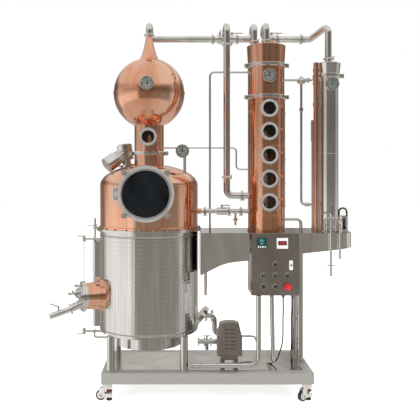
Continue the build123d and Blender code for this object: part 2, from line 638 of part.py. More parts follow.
# ---- gauges ----
def gauge_cases():
    """Round dial cases that face the front, open so that the needle shows."""
    group = []
    for x, y, z in GAUGES.values():
        case = rod((x, y, z), (x, y - GAUGE_DEPTH, z), GAUGE_RADIUS)
        case -= rod((x, y - 8, z), (x, y - GAUGE_DEPTH, z), GAUGE_RADIUS - 5)
        case += rod((x, y - 8, z), (x, y - 16, z), 2)
        group.append(case)
    x, y, z = GAUGES["pot_gauge"]
    stem_x, stem_y = x + 17, y - 13
    height = SHOULDER_Z + SHOULDER_RISE * math.sqrt(1 - (math.hypot(stem_x, stem_y) / POT_RADIUS) ** 2)
    group[-1] += rod((stem_x, stem_y, height - 9), (stem_x, stem_y, z - GAUGE_RADIUS + 6), 11) - hood_form()
    return group


def gauge_needle(x, y, z):
    hub = rod((x, y - 11, z), (x, y - 14, z), 6, 2.2)
    pointer = block(x - 1.5, x + 1.5, y - 14, y - 12, z + 5, z + 36)
    return hub + pointer


# ---- mixer ----
def mixer_motor():
    """Geared motor of the mixer on the hood's shoulder."""
    way = Vector(*MIXER_MOTOR_WAY).normalized()
    body = rod(mixer_line(-12), mixer_line(22), 62, 14)
    body += rod(mixer_line(22), mixer_line(60), 34, 14)
    body -= hood_form()
    body += rod(mixer_line(60), mixer_line(178), 58)
    centre = Vector(*mixer_line(120))
    body += rod(tuple(centre), tuple(centre + way * 100), 50)
    body += rod(tuple(centre + way * 100), tuple(centre + way * 190), 60)
    return body - rod(mixer_line(0), mixer_line(90), 14)


def mixer_shaft():
    """Mixer shaft with two three-bladed paddles."""
    shaft = rod(mixer_line(-MIXER_SHAFT_LENGTH), mixer_line(88), 11)
    axis = Vector(*mixer_line(1)) - Vector(*mixer_line(0))
    for distance in (-MIXER_SHAFT_LENGTH + 30, -MIXER_SHAFT_LENGTH + 330):
        place = Plane(origin=mixer_line(distance), z_dir=axis)
        for turn in (0, 120, 240):
            shaft += place * Rot(0, 0, turn) * Pos(60, 0, 0) * Rot(35, 0, 0) * Box(110, 34, 4)
        shaft += rod(mixer_line(distance - 20), mixer_line(distance + 20), 20)
    return shaft


# ---- spirit outlet on the pot's side ----
def outlet_point(distance, side=0, height=0):
    """Point on the outlet's axis, with a sideways and upward offset."""
    angle = math.radians(OUTLET_ANGLE)
    x = -distance * math.cos(angle) + side * math.sin(angle)
    y = -distance * math.sin(angle) - side * math.cos(angle)
    return (x, y, OUTLET_Z + height)


def outlet_neck():
    toward = Vector(*outlet_point(OUTLET_FACE)) - Vector(*outlet_point(330))
    along = Plane(origin=outlet_point(330), z_dir=toward)
    neck = Solid.make_cone(OUTLET_RADIUS + 14, OUTLET_RADIUS, toward.length, along)
    neck -= rod(outlet_point(320), outlet_point(OUTLET_FACE + 1), OUTLET_RADIUS - 4)
    face, bore = OUTLET_FACE, OUTLET_RADIUS - 4
    neck += rod(outlet_point(face - 14), outlet_point(face), OUTLET_LID_RADIUS, bore)
    neck += rod(outlet_point(340), outlet_point(392), OUTLET_RADIUS + 22, bore)
    neck -= rod((0, 0, 400), (0, 0, 1200), POT_RADIUS)
    side = OUTLET_HINGE_SIDE
    for low, high in ((-62, -32), (32, 62)):
        middle = (low + high) / 2
        neck += rod(outlet_point(face + 8, side, low), outlet_point(face + 8, side, high), 10)
        near = -OUTLET_RADIUS - 6
        neck += rod(outlet_point(face - 7, side, middle), outlet_point(face - 7, near, middle), 5)
        neck += rod(outlet_point(face - 13, side, middle), outlet_point(face + 4, side, middle), 7)
    neck += rod(outlet_point(face + 8, side, -62), outlet_point(face + 8, side, 62), 4)
    return max(neck.solids(), key=lambda piece: piece.volume)


def outlet_lid():
    """Lid with its yoke, swing bolts and drain spout; it swings on the upright pin beside the neck."""
    face = OUTLET_FACE
    lid = rod(outlet_point(face + 1), outlet_point(face + 15), OUTLET_LID_RADIUS)
    lid += rod(outlet_point(face + 15), outlet_point(face + 26), 70)
    lid += rod(outlet_point(face + 12, 0, -50), outlet_point(face + 84, 0, -82), 30)
    lid += rod(outlet_point(face + 84, 0, -87), outlet_point(*SPOUT[0]), 40)
    lid += rod(outlet_point(*SPOUT[0]), outlet_point(*SPOUT[1]), 23)
    lid += rod(outlet_point(face + 26, 0, 24), outlet_point(face + 54, 0, 24), 36)
    lid += rod(outlet_point(face + 54, 0, 24), outlet_point(face + 110, 0, 24), 9)
    lid += rod(outlet_point(face + 66, -84, 24), outlet_point(face + 66, 84, 24), 8)
    lid += rod(outlet_point(face + 104, -34, 24), outlet_point(face + 104, 34, 24), 6)
    side = OUTLET_HINGE_SIDE
    lid += rod(outlet_point(face + 8, side, -30), outlet_point(face + 8, side, 30), 10)
    lid += rod(outlet_point(face + 8, side, 0), outlet_point(face + 8, -80, 0), 5.5)
    for turn in (45, 135, 225, 315):
        across = 98 * math.cos(math.radians(turn))
        up = 98 * math.sin(math.radians(turn))
        lid += rod(outlet_point(face + 15, across, up), outlet_point(face + 60, across, up), 6)
        lid += rod(outlet_point(face + 34, across, up), outlet_point(face + 48, across, up), 14)
    distance, _, height = OUTLET_LEVER_AT
    lid += rod(outlet_point(distance, 0, height - 30), outlet_point(distance, 0, height), 7)
    lid -= rod(outlet_point(face + 160, 0, -110), outlet_point(face + 260, 0, -139), 19)
    return lid - rod(outlet_point(face + 8, side, -31), outlet_point(face + 8, side, 31), 4.3)


def outlet_lever():
    """Quarter-turn lever on top of the outlet spout."""
    distance, _, height = OUTLET_LEVER_AT
    stem = rod(outlet_point(distance, 0, height + 1), outlet_point(distance, 0, height + 20), 8)
    return stem + rod(outlet_point(distance, 0, height + 14), outlet_point(distance + 64, 0, height + 40), 5)


# ---- valves with levers ----
def lever(name):
    pivot, direction, length = LEVERS[name]
    up = -1 if name.endswith("bottom") else 1
    low = Vector(*pivot)
    boss = rod(tuple(low), tuple(low + Vector(0, 0, 9 * up)), 10)
    arm = low + Vector(0, 0, 5 * up)
    return boss + rod(tuple(arm), tuple(arm + Vector(*direction) * length), 4.5)


def valve_bodies():
    group = []
    for name in ("vapour_valve_lever", "bypass_valve_lever", "column_valve_lever"):
        x, y, z = LEVERS[name][0]
        ring = rod((x - 17, y, VAPOUR_Z), (x + 17, y, VAPOUR_Z), 38)
        ring += rod((x, y, VAPOUR_Z), (x, y, z - 1), 9)
        group.append(ring - rod((x - 18, y, VAPOUR_Z), (x + 18, y, VAPOUR_Z), VAPOUR_RADIUS))
    z = RETURN_Z
    ball = rod((520, 0, z), (600, 0, z), 30) + rod((560, 0, z), (560, 0, z + 39), 8)
    group.append(ball - rod((519, 0, z), (601, 0, z), RETURN_RADIUS))
    drain = rod((665, 0, z), (665, 0, z - 110), 9)
    drain += rod((665, 0, z - 52), (665, 0, z - 76), 14)
    drain += rod((640, 0, z - 64), (690, 0, z - 64), 4)
    group.append(drain - rod((640, 0, z), (690, 0, z), RETURN_RADIUS))
    for z, up, radius in ((LEVEL_Z[1], -1, POT_RADIUS), (LEVEL_Z[0], 1, SKIRT_RADIUS)):
        cock = rod((LEVEL_X, LEVEL_Y, z + 5 * -up), (LEVEL_X, LEVEL_Y, z + 30 * up), 14)
        cock += rod((LEVEL_X, LEVEL_Y, z + 10 * up), (-200, LEVEL_Y, z + 10 * up), 9)
        cock += rod((-440, LEVEL_Y, z + 10 * up), (-415, LEVEL_Y, z + 10 * up), 14)
        cock -= rod((0, 0, 300), (0, 0, POT_TOP), radius)
        group.append(max(cock.solids(), key=lambda piece: piece.volume))
    relief = rod((-430, 90, 1120.3), (-430, 90, 1298), 9) + rod((-430, 90, 1215), (-430, 90, 1250), 15)
    group.append(relief + rod((-430, 90, 1240), (-490, 90, 1240), 4))
    return group


# ---- service pipes ----
def copper_riser():
    riser = rod((*RISER, 1170), (*RISER, 2490), 19, 16)
    for z in (2160, 2320, 2420):
        riser += rod((*RISER, z), (*RISER, z + 26), 23, 16)
    return riser


def service_pipes():
    return_line = pipe([(396, 0, RETURN_Z), (COLUMN_X - 120, 0, RETURN_Z)], RETURN_RADIUS, 0)
    group = [return_line - column_form()]
    group.append(pipe([(471, 60, 1150), (471, 60, 2438), (COLUMN_X - 100, 60, 2438)], 8, 30) - column_form())
    group.append(pipe([(0, 90, 1850), (679, 90, 1850), (679, 90, 1682), (COLUMN_X, 90, 1682)], 6, 30)
                 - column_form() - rod((0, 0, 1800), (0, 0, 1900), NECK_RADIUS))
    group.append(side_pipe())
    group.append(column_tube())
    reflux = pipe([(COLUMN_X + 60, -60, 1300), (1157, -60, 1300), (1157, -60, 1170)], 13, 36)
    group.append(reflux - column_form())
    group.append(pipe([(811, -270, BOX_BOTTOM - 4), (811, -270, 250), (310, -270, 250)], 19, 60))
    group.append(pipe([(916, -200, BOX_BOTTOM - 24), (926, -200, 254), (926, 60, 254)], 16, 40))
    group.append(pipe([(426, -230, 1150), (426, -230, 753)], 11, 0))
    tap_line = pipe([(1330, -290, 903), (1330, -290, 1350), (1330, -50, 1350)], 8, 30) - condenser_form()
    tap_line += rod((1305, -290, 980), (1355, -290, 980), 4)
    group.append(tap_line - rod((1330, -290, 1180), (1330, -290, 903), 6))
    group.append(pipe([(1395, -290, 1026), (1395, -290, 1300), (1395, -215, 1300)], 8, 30))
    loop = pipe([(1307, -200, 1213.5), (1307, -200, 1316), (1389, -200, 1316), (1389, -200, 1213.5)], 7, 20)
    loop += rod((1307, -200, 1250), (1307, -200, 1274), 12)
    group.append(loop + rod((1389, -200, 1240), (1389, -200, 1264), 12))
    group.append(pipe([(-246, LEVEL_Y, 372), (-430, LEVEL_Y, 372), (-430, LEVEL_Y, 405)], 8, 20))
    group.append(pipe([(PUMP_X + 83, 15, 392), (811, 15, 392), (811, -250, 392)], 8, 30))
    return group


def side_pipe():
    """Pipe from the column's head, past its relief valve, down to the air tube beside the riser."""
    x, (low, high) = SIDE_PIPE_X, SIDE_PIPE_Z
    tube_x, y = AIR_TUBE
    line = pipe([(COLUMN_X, y, high), (x, y, high), (x, y, low), (tube_x, y, low)], 9, 30) - column_form()
    line += turned((0, 2342), (24, 2342), (33, 2354), (33, 2364), (18, 2390), (6, 2400), (0, 2400), x=x, y=y)
    line += rod((x, y, high), (tube_x, y, high), 8)
    line += rod((tube_x, y, high), (tube_x + 7.6, y - 62.5, high), 8)
    for near, far, radius in ((28, 40, 15), (46, 62, 20)):
        line += rod((x + near, y, high), (x + far, y, high), radius)
    line += rod((x, y, 2133), (x, y, 2155), 15) + rod((x + 28, y, low), (x + 62, y, low), 16)
    tube = rod((tube_x, y, 1170), (tube_x, y, AIR_TUBE_TOP), 8)
    tube += rod((tube_x, y, 1899), (tube_x, y, AIR_TUBE_TOP), 12)
    return line + tube - rod((tube_x, y, 1160), (tube_x, y, AIR_TUBE_TOP + 1), 6)


def column_tube():
    """Thin tube up the column's right side, with a short branch at each sight glass."""
    out, y = 128, -82
    x = COLUMN_X + out
    near = (COLUMN_RADIUS + 0.6) / math.hypot(out, y)
    tube = rod((x, y, PLATFORM_TOP + 0.5), (x, y, COLUMN_RING_Z[0] - 24), 5)
    for z in SIGHT_Z:
        tube += rod((x, y, z - 30), (COLUMN_X + out * near, y * near, z - 30), 4)
        tube += rod((x, y, z - 36), (x, y, z - 24), 8)
    return tube


def spirit_safe():
    x, y, z = SAFE
    body = rod((x, y, z), (x, y, z + 10), 48) + rod((x, y, z + 10), (x, y, z + 120), 40, 36)
    window = block(x - 14, x + 14, y - 50, y, z + 24, z + 104)
    return body - window


# ---- pump ----
def pump_motor():
    """Motor with its louvred front cover, standing on a foot."""
    half, neck, base, shoulder, arch = 93, 69, 302, 438, 540
    outline = Polyline((PUMP_X - neck, arch), (PUMP_X - half, shoulder), (PUMP_X - half, base),
                       (PUMP_X + half, base), (PUMP_X + half, shoulder), (PUMP_X + neck, arch))
    outline += ThreePointArc((PUMP_X + neck, arch), (PUMP_X, arch + 12), (PUMP_X - neck, arch))
    face = make_face(Plane.XZ * outline)
    cover = Pos(0, PUMP_FRONT, 0) * extrude(face, amount=PUMP_COVER_DEPTH, dir=(0, 1, 0))
    cover = fillet(cover.edges().group_by(Axis.Y)[0], 6)
    for row in range(6):
        z = 355 + 28 * row
        for side in (-22, 22):
            cover -= block(PUMP_X + side - 18, PUMP_X + side + 18, PUMP_FRONT - 1, PUMP_FRONT + 4, z, z + 5)
    back = PUMP_FRONT + 190
    motor = rod((PUMP_X, PUMP_FRONT + PUMP_COVER_DEPTH - 5, PUMP_AXIS_Z), (PUMP_X, back, PUMP_AXIS_Z), 78)
    foot = block(PUMP_X - 62, PUMP_X + 62, PUMP_FRONT + 16, back - 20, FRAME_TOP + DECK_THICK, base + 3)
    behind = PUMP_FRONT + PUMP_COVER_DEPTH
    saddle = block(PUMP_X - 40, PUMP_X + 40, behind, back - 20, base, PUMP_AXIS_Z - 60)
    tunnel = block(PUMP_X - 36, PUMP_X + 36, PUMP_FRONT, PUMP_FRONT + 180, FRAME_TOP, 270)
    return cover + motor + foot + saddle - tunnel


def pump_body():
    """Round pump casing behind the motor, its suction from the pot's side nozzle and its lower branch."""
    back = PUMP_FRONT + 190
    middle = back + 45
    axis = PUMP_AXIS_Z
    casing = rod((PUMP_X, back, axis), (PUMP_X, back + 90, axis), 82)
    suction = [(400, middle, 550), (505, middle, 550), (505, middle, axis), (PUMP_X - 50, middle, axis)]
    casing += pipe(suction, 19, 40)
    casing += rod((378, middle, 550), (402, middle, 530), 96)
    for x, radius in ((428, 46), (440, 40), (474, 46), (486, 50)):
        casing += rod((x, middle, 550), (x + 9, middle, 550), radius)
    low = axis - 60
    casing += rod((PUMP_X, middle, low), (345, middle, low), 19)
    casing += rod((345, middle, 240), (345, middle, 440), 22)
    casing += rod((345, middle, low), (345, middle - 60, low), 16)
    for x in (372, 420, 470):
        casing += rod((x, middle, low), (x + 12, middle, low), 34)
    casing += rod((445, middle, low), (445, middle, low - 62), 14)
    casing += rod((415, middle, low + 44), (475, middle, low + 44), 5)
    casing += rod((445, middle, low), (445, middle, low + 48), 7)
    casing -= rod((0, 0, 300), (0, 0, POT_TOP), POT_RADIUS)
    casing -= rod((PUMP_X, back + 12, axis), (PUMP_X, back + 78, axis), 70)
    casing -= rod((PUMP_X, back - 1, axis), (PUMP_X, back + 30, axis), 13)
    return max(casing.solids(), key=lambda piece: piece.volume)


def pump_impeller():
    back = PUMP_FRONT + 190
    wheel = rod((PUMP_X, back + 24, PUMP_AXIS_Z), (PUMP_X, back + 30, PUMP_AXIS_Z), 58)
    wheel += rod((PUMP_X, back + 2, PUMP_AXIS_Z), (PUMP_X, back + 60, PUMP_AXIS_Z), 12)
    hub = Plane(origin=(PUMP_X, back + 43, PUMP_AXIS_Z), z_dir=(0, 1, 0))
    for step in range(6):
        vane = Pos(34, 0, 0) * Box(46, 4, 26)
        wheel += hub * Rot(0, 0, 60 * step) * vane
    return wheel


# ---- casters ----
def caster_spots():
    """Corner names, swivel centres and which way each trailing wheel points at rest."""
    spots = {}
    for depth, y in (("front", CASTER_Y[0]), ("rear", CASTER_Y[1])):
        spots[f"{depth}_left"] = (CASTER_X[0], y, 180)
        spots[f"{depth}_right"] = (CASTER_X[1], y, 215)
    return spots


def placed(shape, x, y, heading):
    """Move a caster piece from its own frame (wheel trailing along +X) to its corner."""
    return Pos(x, y, 0) * Rot(0, 0, heading) * shape


def caster_swivel(x, y, heading):
    """Swivel housing: top plate, head, and two cheeks that hold the axle and guard the thumbwheel."""
    axle_z = WHEEL_RADIUS + WHEEL_LIFT
    body = rod((0, 0, FRAME_BOTTOM - 7), (0, 0, FRAME_BOTTOM - 0.5), 36)
    body += fillet(block(-36, 34, -21, 21, 92, FRAME_BOTTOM - 7).edges().filter_by(Axis.Z), 12)
    for side in (-1, 1):
        cheek = block(-34, CASTER_OFFSET + 12, 15, 21, 24, 92)
        cheek += rod((CASTER_OFFSET, 15, axle_z), (CASTER_OFFSET, 21, axle_z), 18)
        cheek -= block(-40, 16, 10, 25, 50, 84)
        cheek = fillet(cheek.edges().filter_by(Axis.Y).group_by(Axis.Z)[-1].group_by(Axis.X)[-1], 16)
        body += cheek if side > 0 else mirror(cheek, about=Plane.XZ)
    body += rod((CASTER_OFFSET, -21, axle_z), (CASTER_OFFSET, 21, axle_z), 5)
    body -= rod((FOOT_OFFSET, 0, 80), (FOOT_OFFSET, 0, 112), 9)
    return placed(body, x, y, heading)


def caster_wheel(x, y, heading):
    z = WHEEL_RADIUS + WHEEL_LIFT
    wheel = rod((CASTER_OFFSET, -WHEEL_WIDTH / 2, z), (CASTER_OFFSET, WHEEL_WIDTH / 2, z), WHEEL_RADIUS, 5.3)
    return placed(wheel, x, y, heading)


def levelling_foot(x, y, heading):
    """Pad, threaded stem and thumbwheel of one levelling foot."""
    foot = rod((FOOT_OFFSET, 0, 0), (FOOT_OFFSET, 0, 12), 20)
    foot += rod((FOOT_OFFSET, 0, 12), (FOOT_OFFSET, 0, 96), 8)
    foot += rod((FOOT_OFFSET, 0, 62), (FOOT_OFFSET, 0, 72), 22)
    return placed(foot, x, y, heading)


nodes = {
    "base_frame": base_frame(),
    "kettle": kettle(),
    "copper_hood": hood(),
    "onion_head": onion_head(),
    "manway_frame": manway_frame(),
    "manway_door": manway_door(),
    "manway_glass": manway_glass(),
    "manway_knobs": manway_knobs(),
    "vapour_lines": vapour_lines(),
    "clamps_and_bolts": pipe_clamps() + flange_bolts(),
    "column_sections": column_sections(),
    "column_trays": column_trays(),
    "sight_rings": sight_rings(),
    "clear_parts": clear_parts(),
    "condenser_shell": condenser_shell(),
    "condenser_tubes": condenser_tubes(),
    "platform": platform(),
    "control_box": control_box(),
    "panel_door": panel_door(),
    "panel_instruments": panel_instruments(),
    "emergency_stop": emergency_stop(),
    "gauge_cases": gauge_cases(),
    "mixer_motor": mixer_motor(),
    "mixer_shaft": mixer_shaft(),
    "outlet_neck": outlet_neck(),
    "outlet_lid": outlet_lid(),
    "outlet_lever": outlet_lever(),
    "valve_bodies": valve_bodies(),
    "copper_riser": copper_riser(),
    "service_pipes": service_pipes(),
    "spirit_safe": spirit_safe(),
    "pump_motor": pump_motor(),
    "pump_body": pump_body(),
    "pump_impeller": pump_impeller(),
}
for name, (x, z) in PANEL_KNOBS.items():
    nodes[name] = panel_knob(x, z)
for name, spot in GAUGES.items():
    nodes[f"{name}_needle"] = gauge_needle(*spot)
for name in LEVERS:
    nodes[name] = lever(name)
for corner, spot in caster_spots().items():
    nodes[f"caster_swivel_{corner}"] = caster_swivel(*spot)
    nodes[f"caster_wheel_{corner}"] = caster_wheel(*spot)
    nodes[f"levelling_foot_{corner}"] = levelling_foot(*spot)

for name, shape in nodes.items():
    if isinstance(shape, list):
        nodes[name] = Compound(children=[solid for piece in shape for solid in piece.solids()])
footprint = Compound(children=[Compound(shape.wrapped) for shape in nodes.values()]).bounding_box().center()

os.makedirs("parts", exist_ok=True)
for name, shape in nodes.items():
    export_step(Pos(-footprint.X, -footprint.Y, 0) * shape, f"parts/{name}.step")
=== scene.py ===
import bpy
import bmesh
import math
from mathutils import Matrix, Vector


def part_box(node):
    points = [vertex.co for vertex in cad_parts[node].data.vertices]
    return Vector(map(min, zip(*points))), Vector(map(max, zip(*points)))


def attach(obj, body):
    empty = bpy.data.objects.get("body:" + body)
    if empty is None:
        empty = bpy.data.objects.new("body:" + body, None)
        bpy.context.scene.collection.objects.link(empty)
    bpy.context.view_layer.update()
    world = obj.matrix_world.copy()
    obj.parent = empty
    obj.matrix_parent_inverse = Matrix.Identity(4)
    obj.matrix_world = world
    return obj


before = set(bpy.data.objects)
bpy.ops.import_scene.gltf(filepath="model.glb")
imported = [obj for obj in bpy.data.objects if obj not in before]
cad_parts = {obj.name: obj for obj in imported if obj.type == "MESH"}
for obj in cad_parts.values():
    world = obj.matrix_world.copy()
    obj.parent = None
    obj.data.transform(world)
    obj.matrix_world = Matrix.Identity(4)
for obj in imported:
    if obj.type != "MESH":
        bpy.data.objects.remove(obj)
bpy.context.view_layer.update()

# The pot's upright axis is the middle of the copper hood; lengths below are millimetres from it.
hood_low, hood_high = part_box("copper_hood")
POT_X = (hood_low.x + hood_high.x) / 2
POT_Y = (hood_low.y + hood_high.y) / 2


def at(x, y, z):
    """Point in the room, from millimetres right of and behind the pot's axis and above the floor."""
    return Vector((POT_X + x / 1000, POT_Y + y / 1000, z / 1000))


# ---- material tools ----
class Finish:
    """One node material with a Principled shader, and short calls that add detail to it."""

    def __init__(self, name, colour, metallic, roughness):
        self.material = bpy.data.materials.new(name)
        self.material.use_nodes = True
        self.tree = self.material.node_tree
        self.shader = self.tree.nodes["Principled BSDF"]
        self.shader.inputs["Base Color"].default_value = (*colour, 1)
        self.shader.inputs["Metallic"].default_value = metallic
        self.shader.inputs["Roughness"].default_value = roughness
        self.place = self.add("ShaderNodeTexCoord").outputs["Object"]

    def add(self, kind, **settings):
        node = self.tree.nodes.new(kind)
        for name, value in settings.items():
            setattr(node, name, value)
        return node

    def link(self, source, target):
        self.tree.links.new(source, target)

    def noise(self, scale, stretch=(1, 1, 1), detail=3):
        """Noise value from 0 to 1; a small stretch factor draws the pattern out along that axis."""
        mapping = self.add("ShaderNodeMapping")
        mapping.inputs["Scale"].default_value = stretch
        self.link(self.place, mapping.inputs["Vector"])
        noise = self.add("ShaderNodeTexNoise")
        noise.inputs["Scale"].default_value = scale
        noise.inputs["Detail"].default_value = detail
        self.link(mapping.outputs["Vector"], noise.inputs["Vector"])
        return noise.outputs["Fac"]

    def colours(self, value, *stops):
        """Colour from a value through (position, colour) stops."""
        ramp = self.add("ShaderNodeValToRGB")
        elements = ramp.color_ramp.elements
        while len(elements) < len(stops):
            elements.new(0.5)
        for element, (position, colour) in zip(elements, stops):
            element.position = position
            element.color = (*colour, 1)
        self.link(value, ramp.inputs["Fac"])
        return ramp.outputs["Color"]

    def between(self, value, low, high):
        """Maps a 0 to 1 value to the range low to high."""
        span = self.add("ShaderNodeMapRange")
        span.inputs["From Min"].default_value = 0.3
        span.inputs["From Max"].default_value = 0.7
        span.inputs["To Min"].default_value = low
        span.inputs["To Max"].default_value = high
        self.link(value, span.inputs["Value"])
        return span.outputs["Result"]

    def sum(self, first, second, share=0.5):
        """First value plus a share of the second."""
        mix = self.add("ShaderNodeMath", operation="MULTIPLY_ADD")
        self.link(second, mix.inputs[0])
        mix.inputs[1].default_value = share
        self.link(first, mix.inputs[2])
        return mix.outputs["Value"]

    def colour(self, output):
        self.link(output, self.shader.inputs["Base Color"])

    def roughness(self, output):
        self.link(output, self.shader.inputs["Roughness"])

    def bump(self, height, strength, depth_mm):
        bump = self.add("ShaderNodeBump")
        bump.inputs["Strength"].default_value = strength
        bump.inputs["Distance"].default_value = depth_mm / 1000
        self.link(height, bump.inputs["Height"])
        self.link(bump.outputs["Normal"], self.shader.inputs["Normal"])


def copper():
    """Polished copper sheet: drawn-out streaks of painted reflection in its colour, and slightly wavy reflections."""
    finish = Finish("copper", (0.86, 0.48, 0.34), 1, 0.15)
    painted_reflection_streaks = finish.noise(7, (1, 1, 0.16), 5)
    # Painted reflection: the colour ramp lays darker orange and pale pinkish streaks into the copper's colour,
    # standing for the dark and bright bands of the room it reflects.
    finish.colour(finish.colours(painted_reflection_streaks, (0.30, (0.72, 0.33, 0.18)), (0.48, (0.87, 0.46, 0.31)),
                                 (0.72, (0.93, 0.60, 0.45))))
    finish.roughness(finish.between(finish.noise(22, (1, 1, 0.3), 6), 0.04, 0.14))
    finish.bump(finish.sum(finish.noise(5, (1, 1, 0.5), 2), finish.noise(90), 0.03), 0.35, 6)
    return finish.material


def polished_steel():
    """Mirror-polished stainless steel with a little waviness."""
    finish = Finish("polished_steel", (0.78, 0.77, 0.74), 1, 0.1)
    finish.colour(finish.colours(finish.noise(9, (1, 1, 0.25), 4), (0.3, (0.66, 0.65, 0.62)), (0.65, (0.83, 0.82, 0.80))))
    finish.roughness(finish.between(finish.noise(30, detail=5), 0.05, 0.17))
    finish.bump(finish.noise(6, (1, 1, 0.4), 2), 0.25, 4)
    return finish.material


def satin_steel():
    """Stainless steel with a fine brushed grain."""
    finish = Finish("satin_steel", (0.66, 0.64, 0.61), 1, 0.3)
    grain = finish.noise(14, (1, 24, 24), 6)
    finish.colour(finish.colours(grain, (0.3, (0.58, 0.56, 0.53)), (0.7, (0.74, 0.72, 0.69))))
    finish.roughness(finish.between(finish.noise(18, detail=4), 0.22, 0.36))
    finish.bump(grain, 0.15, 0.4)
    return finish.material


def jacket_steel():
    """Stainless jacket sheet: bright, with vertical brushing and soft clouding."""
    finish = Finish("jacket_steel", (0.76, 0.75, 0.73), 1, 0.16)
    brushed = finish.noise(10, (6, 6, 0.2), 5)
    finish.colour(finish.colours(brushed, (0.3, (0.66, 0.65, 0.63)), (0.7, (0.84, 0.83, 0.81))))
    finish.roughness(finish.between(finish.noise(25, (1, 1, 0.3), 5), 0.10, 0.20))
    finish.bump(finish.noise(6, (1, 1, 0.35), 2), 0.3, 4)
    return finish.material


def machined_steel():
    """Turned or milled stainless steel: matt, with fine tool marks."""
    finish = Finish("machined_steel", (0.72, 0.71, 0.68), 0.6, 0.4)
    marks = finish.noise(60, (1, 1, 6), 5)
    finish.colour(finish.colours(marks, (0.3, (0.46, 0.45, 0.43)), (0.7, (0.58, 0.57, 0.55))))
    finish.roughness(finish.between(finish.noise(24, detail=4), 0.30, 0.45))
    finish.bump(marks, 0.2, 0.3)
    return finish.material


def brown_steel():
    """Warm grey-brown brushed sheet of the control box and the motor cover."""
    finish = Finish("brown_steel", (0.40, 0.36, 0.33), 1, 0.32)
    grain = finish.noise(12, (22, 22, 1), 6)
    clouds = finish.noise(5, detail=2)
    finish.colour(finish.colours(finish.sum(grain, clouds, 0.5), (0.45, (0.34, 0.305, 0.275)), (0.95, (0.48, 0.44, 0.405))))
    finish.roughness(finish.between(clouds, 0.26, 0.40))
    finish.bump(grain, 0.12, 0.3)
    return finish.material


def moulding(name, colour, roughness):
    """Moulded plastic or rubber: fine grain, slight colour and gloss variation."""
    finish = Finish(name, colour, 0, roughness)
    dark = tuple(0.75 * part for part in colour)
    light = tuple(min(1, 1.2 * part + 0.004) for part in colour)
    cloud = finish.noise(40, detail=5)
    finish.colour(finish.colours(cloud, (0.35, dark), (0.65, light)))
    finish.roughness(finish.between(cloud, roughness * 0.8, min(1, roughness * 1.25)))
    finish.bump(finish.noise(900, detail=2), 0.2, 0.15)
    return finish.material


def painted(name, colour):
    """Painted metal with a faint orange-peel surface."""
    finish = Finish(name, colour, 0.15, 0.35)
    cloud = finish.noise(25, detail=4)
    finish.colour(finish.colours(cloud, (0.3, tuple(0.85 * part for part in colour)), (0.7, colour)))
    finish.bump(finish.noise(350, detail=2), 0.25, 0.2)
    return finish.material


def glowing(name, colour, strength):
    """Lit segment of a display, slightly uneven."""
    finish = Finish(name, colour, 0, 0.3)
    finish.colour(finish.colours(finish.noise(200, detail=2), (0.3, tuple(0.8 * part for part in colour)), (0.7, colour)))
    finish.shader.inputs["Emission Color"].default_value = (*colour, 1)
    finish.shader.inputs["Emission Strength"].default_value = strength
    return finish.material


def dark_glass():
    """Thick pane whose near-black colour is painted shade for the dark inside of the pot, with soft smears."""
    finish = Finish("dark_glass", (0.012, 0.013, 0.014), 0, 0.04)
    smear = finish.noise(7, (1, 1, 0.5), 4)
    # Painted shade: the pane's near-black colour stands for the unlit inside of the pot; the smear noise varies it a
    # little.
    finish.colour(finish.colours(smear, (0.35, (0.002, 0.003, 0.004)), (0.75, (0.010, 0.012, 0.014))))
    finish.shader.inputs["Specular IOR Level"].default_value = 0.25
    finish.roughness(finish.between(smear, 0.02, 0.10))
    return finish.material


def clear_glass():
    """Thin clear glass: see-through, with reflections that grow towards its edges."""
    finish = Finish("clear_glass", (0.9, 0.95, 0.95), 0, 0.03)
    clear = finish.add("ShaderNodeBsdfTransparent")
    clear.inputs["Color"].default_value = (0.94, 0.96, 0.955, 1)
    gloss = finish.add("ShaderNodeBsdfGlossy")
    finish.link(finish.between(finish.noise(12, detail=3), 0.02, 0.08), gloss.inputs["Roughness"])
    edge = finish.add("ShaderNodeFresnel")
    edge.inputs["IOR"].default_value = 1.5
    mix = finish.add("ShaderNodeMixShader")
    finish.link(edge.outputs["Fac"], mix.inputs["Fac"])
    finish.link(clear.outputs["BSDF"], mix.inputs[1])
    finish.link(gloss.outputs["BSDF"], mix.inputs[2])
    output = finish.tree.nodes["Material Output"]
    finish.link(mix.outputs["Shader"], output.inputs["Surface"])
    return finish.material


COPPER = copper()
POLISHED = polished_steel()
SATIN = satin_steel()
JACKET = jacket_steel()
BROWN = brown_steel()
MACHINED = machined_steel()
BLACK = moulding("black_plastic", (0.018, 0.018, 0.02), 0.35)
# This black rubber is also used as painted shade, in the strips that stand for the pump cover's slots.
RUBBER_AND_SLOT_SHADE = moulding("black_rubber_and_slot_shade", (0.022, 0.021, 0.02), 0.6)
RED = moulding("red_plastic", (0.55, 0.012, 0.02), 0.22)
MAROON = moulding("maroon_plastic", (0.16, 0.02, 0.035), 0.35)
GREY_PAINT = painted("caster_grey", (0.66, 0.65, 0.61))
DIAL_WHITE = painted("dial_white", (0.86, 0.86, 0.83))
INK = moulding("ink", (0.012, 0.012, 0.014), 0.5)
TEAL = painted("teal_screen", (0.008, 0.055, 0.06))
DARK_RED = painted("dark_red_screen", (0.10, 0.008, 0.012))
LIT_WHITE = glowing("lit_white", (0.20, 0.55, 0.55), 0.25)
LIT_RED = glowing("lit_red", (0.75, 0.06, 0.04), 0.35)
PANE = dark_glass()
GLASS = clear_glass()

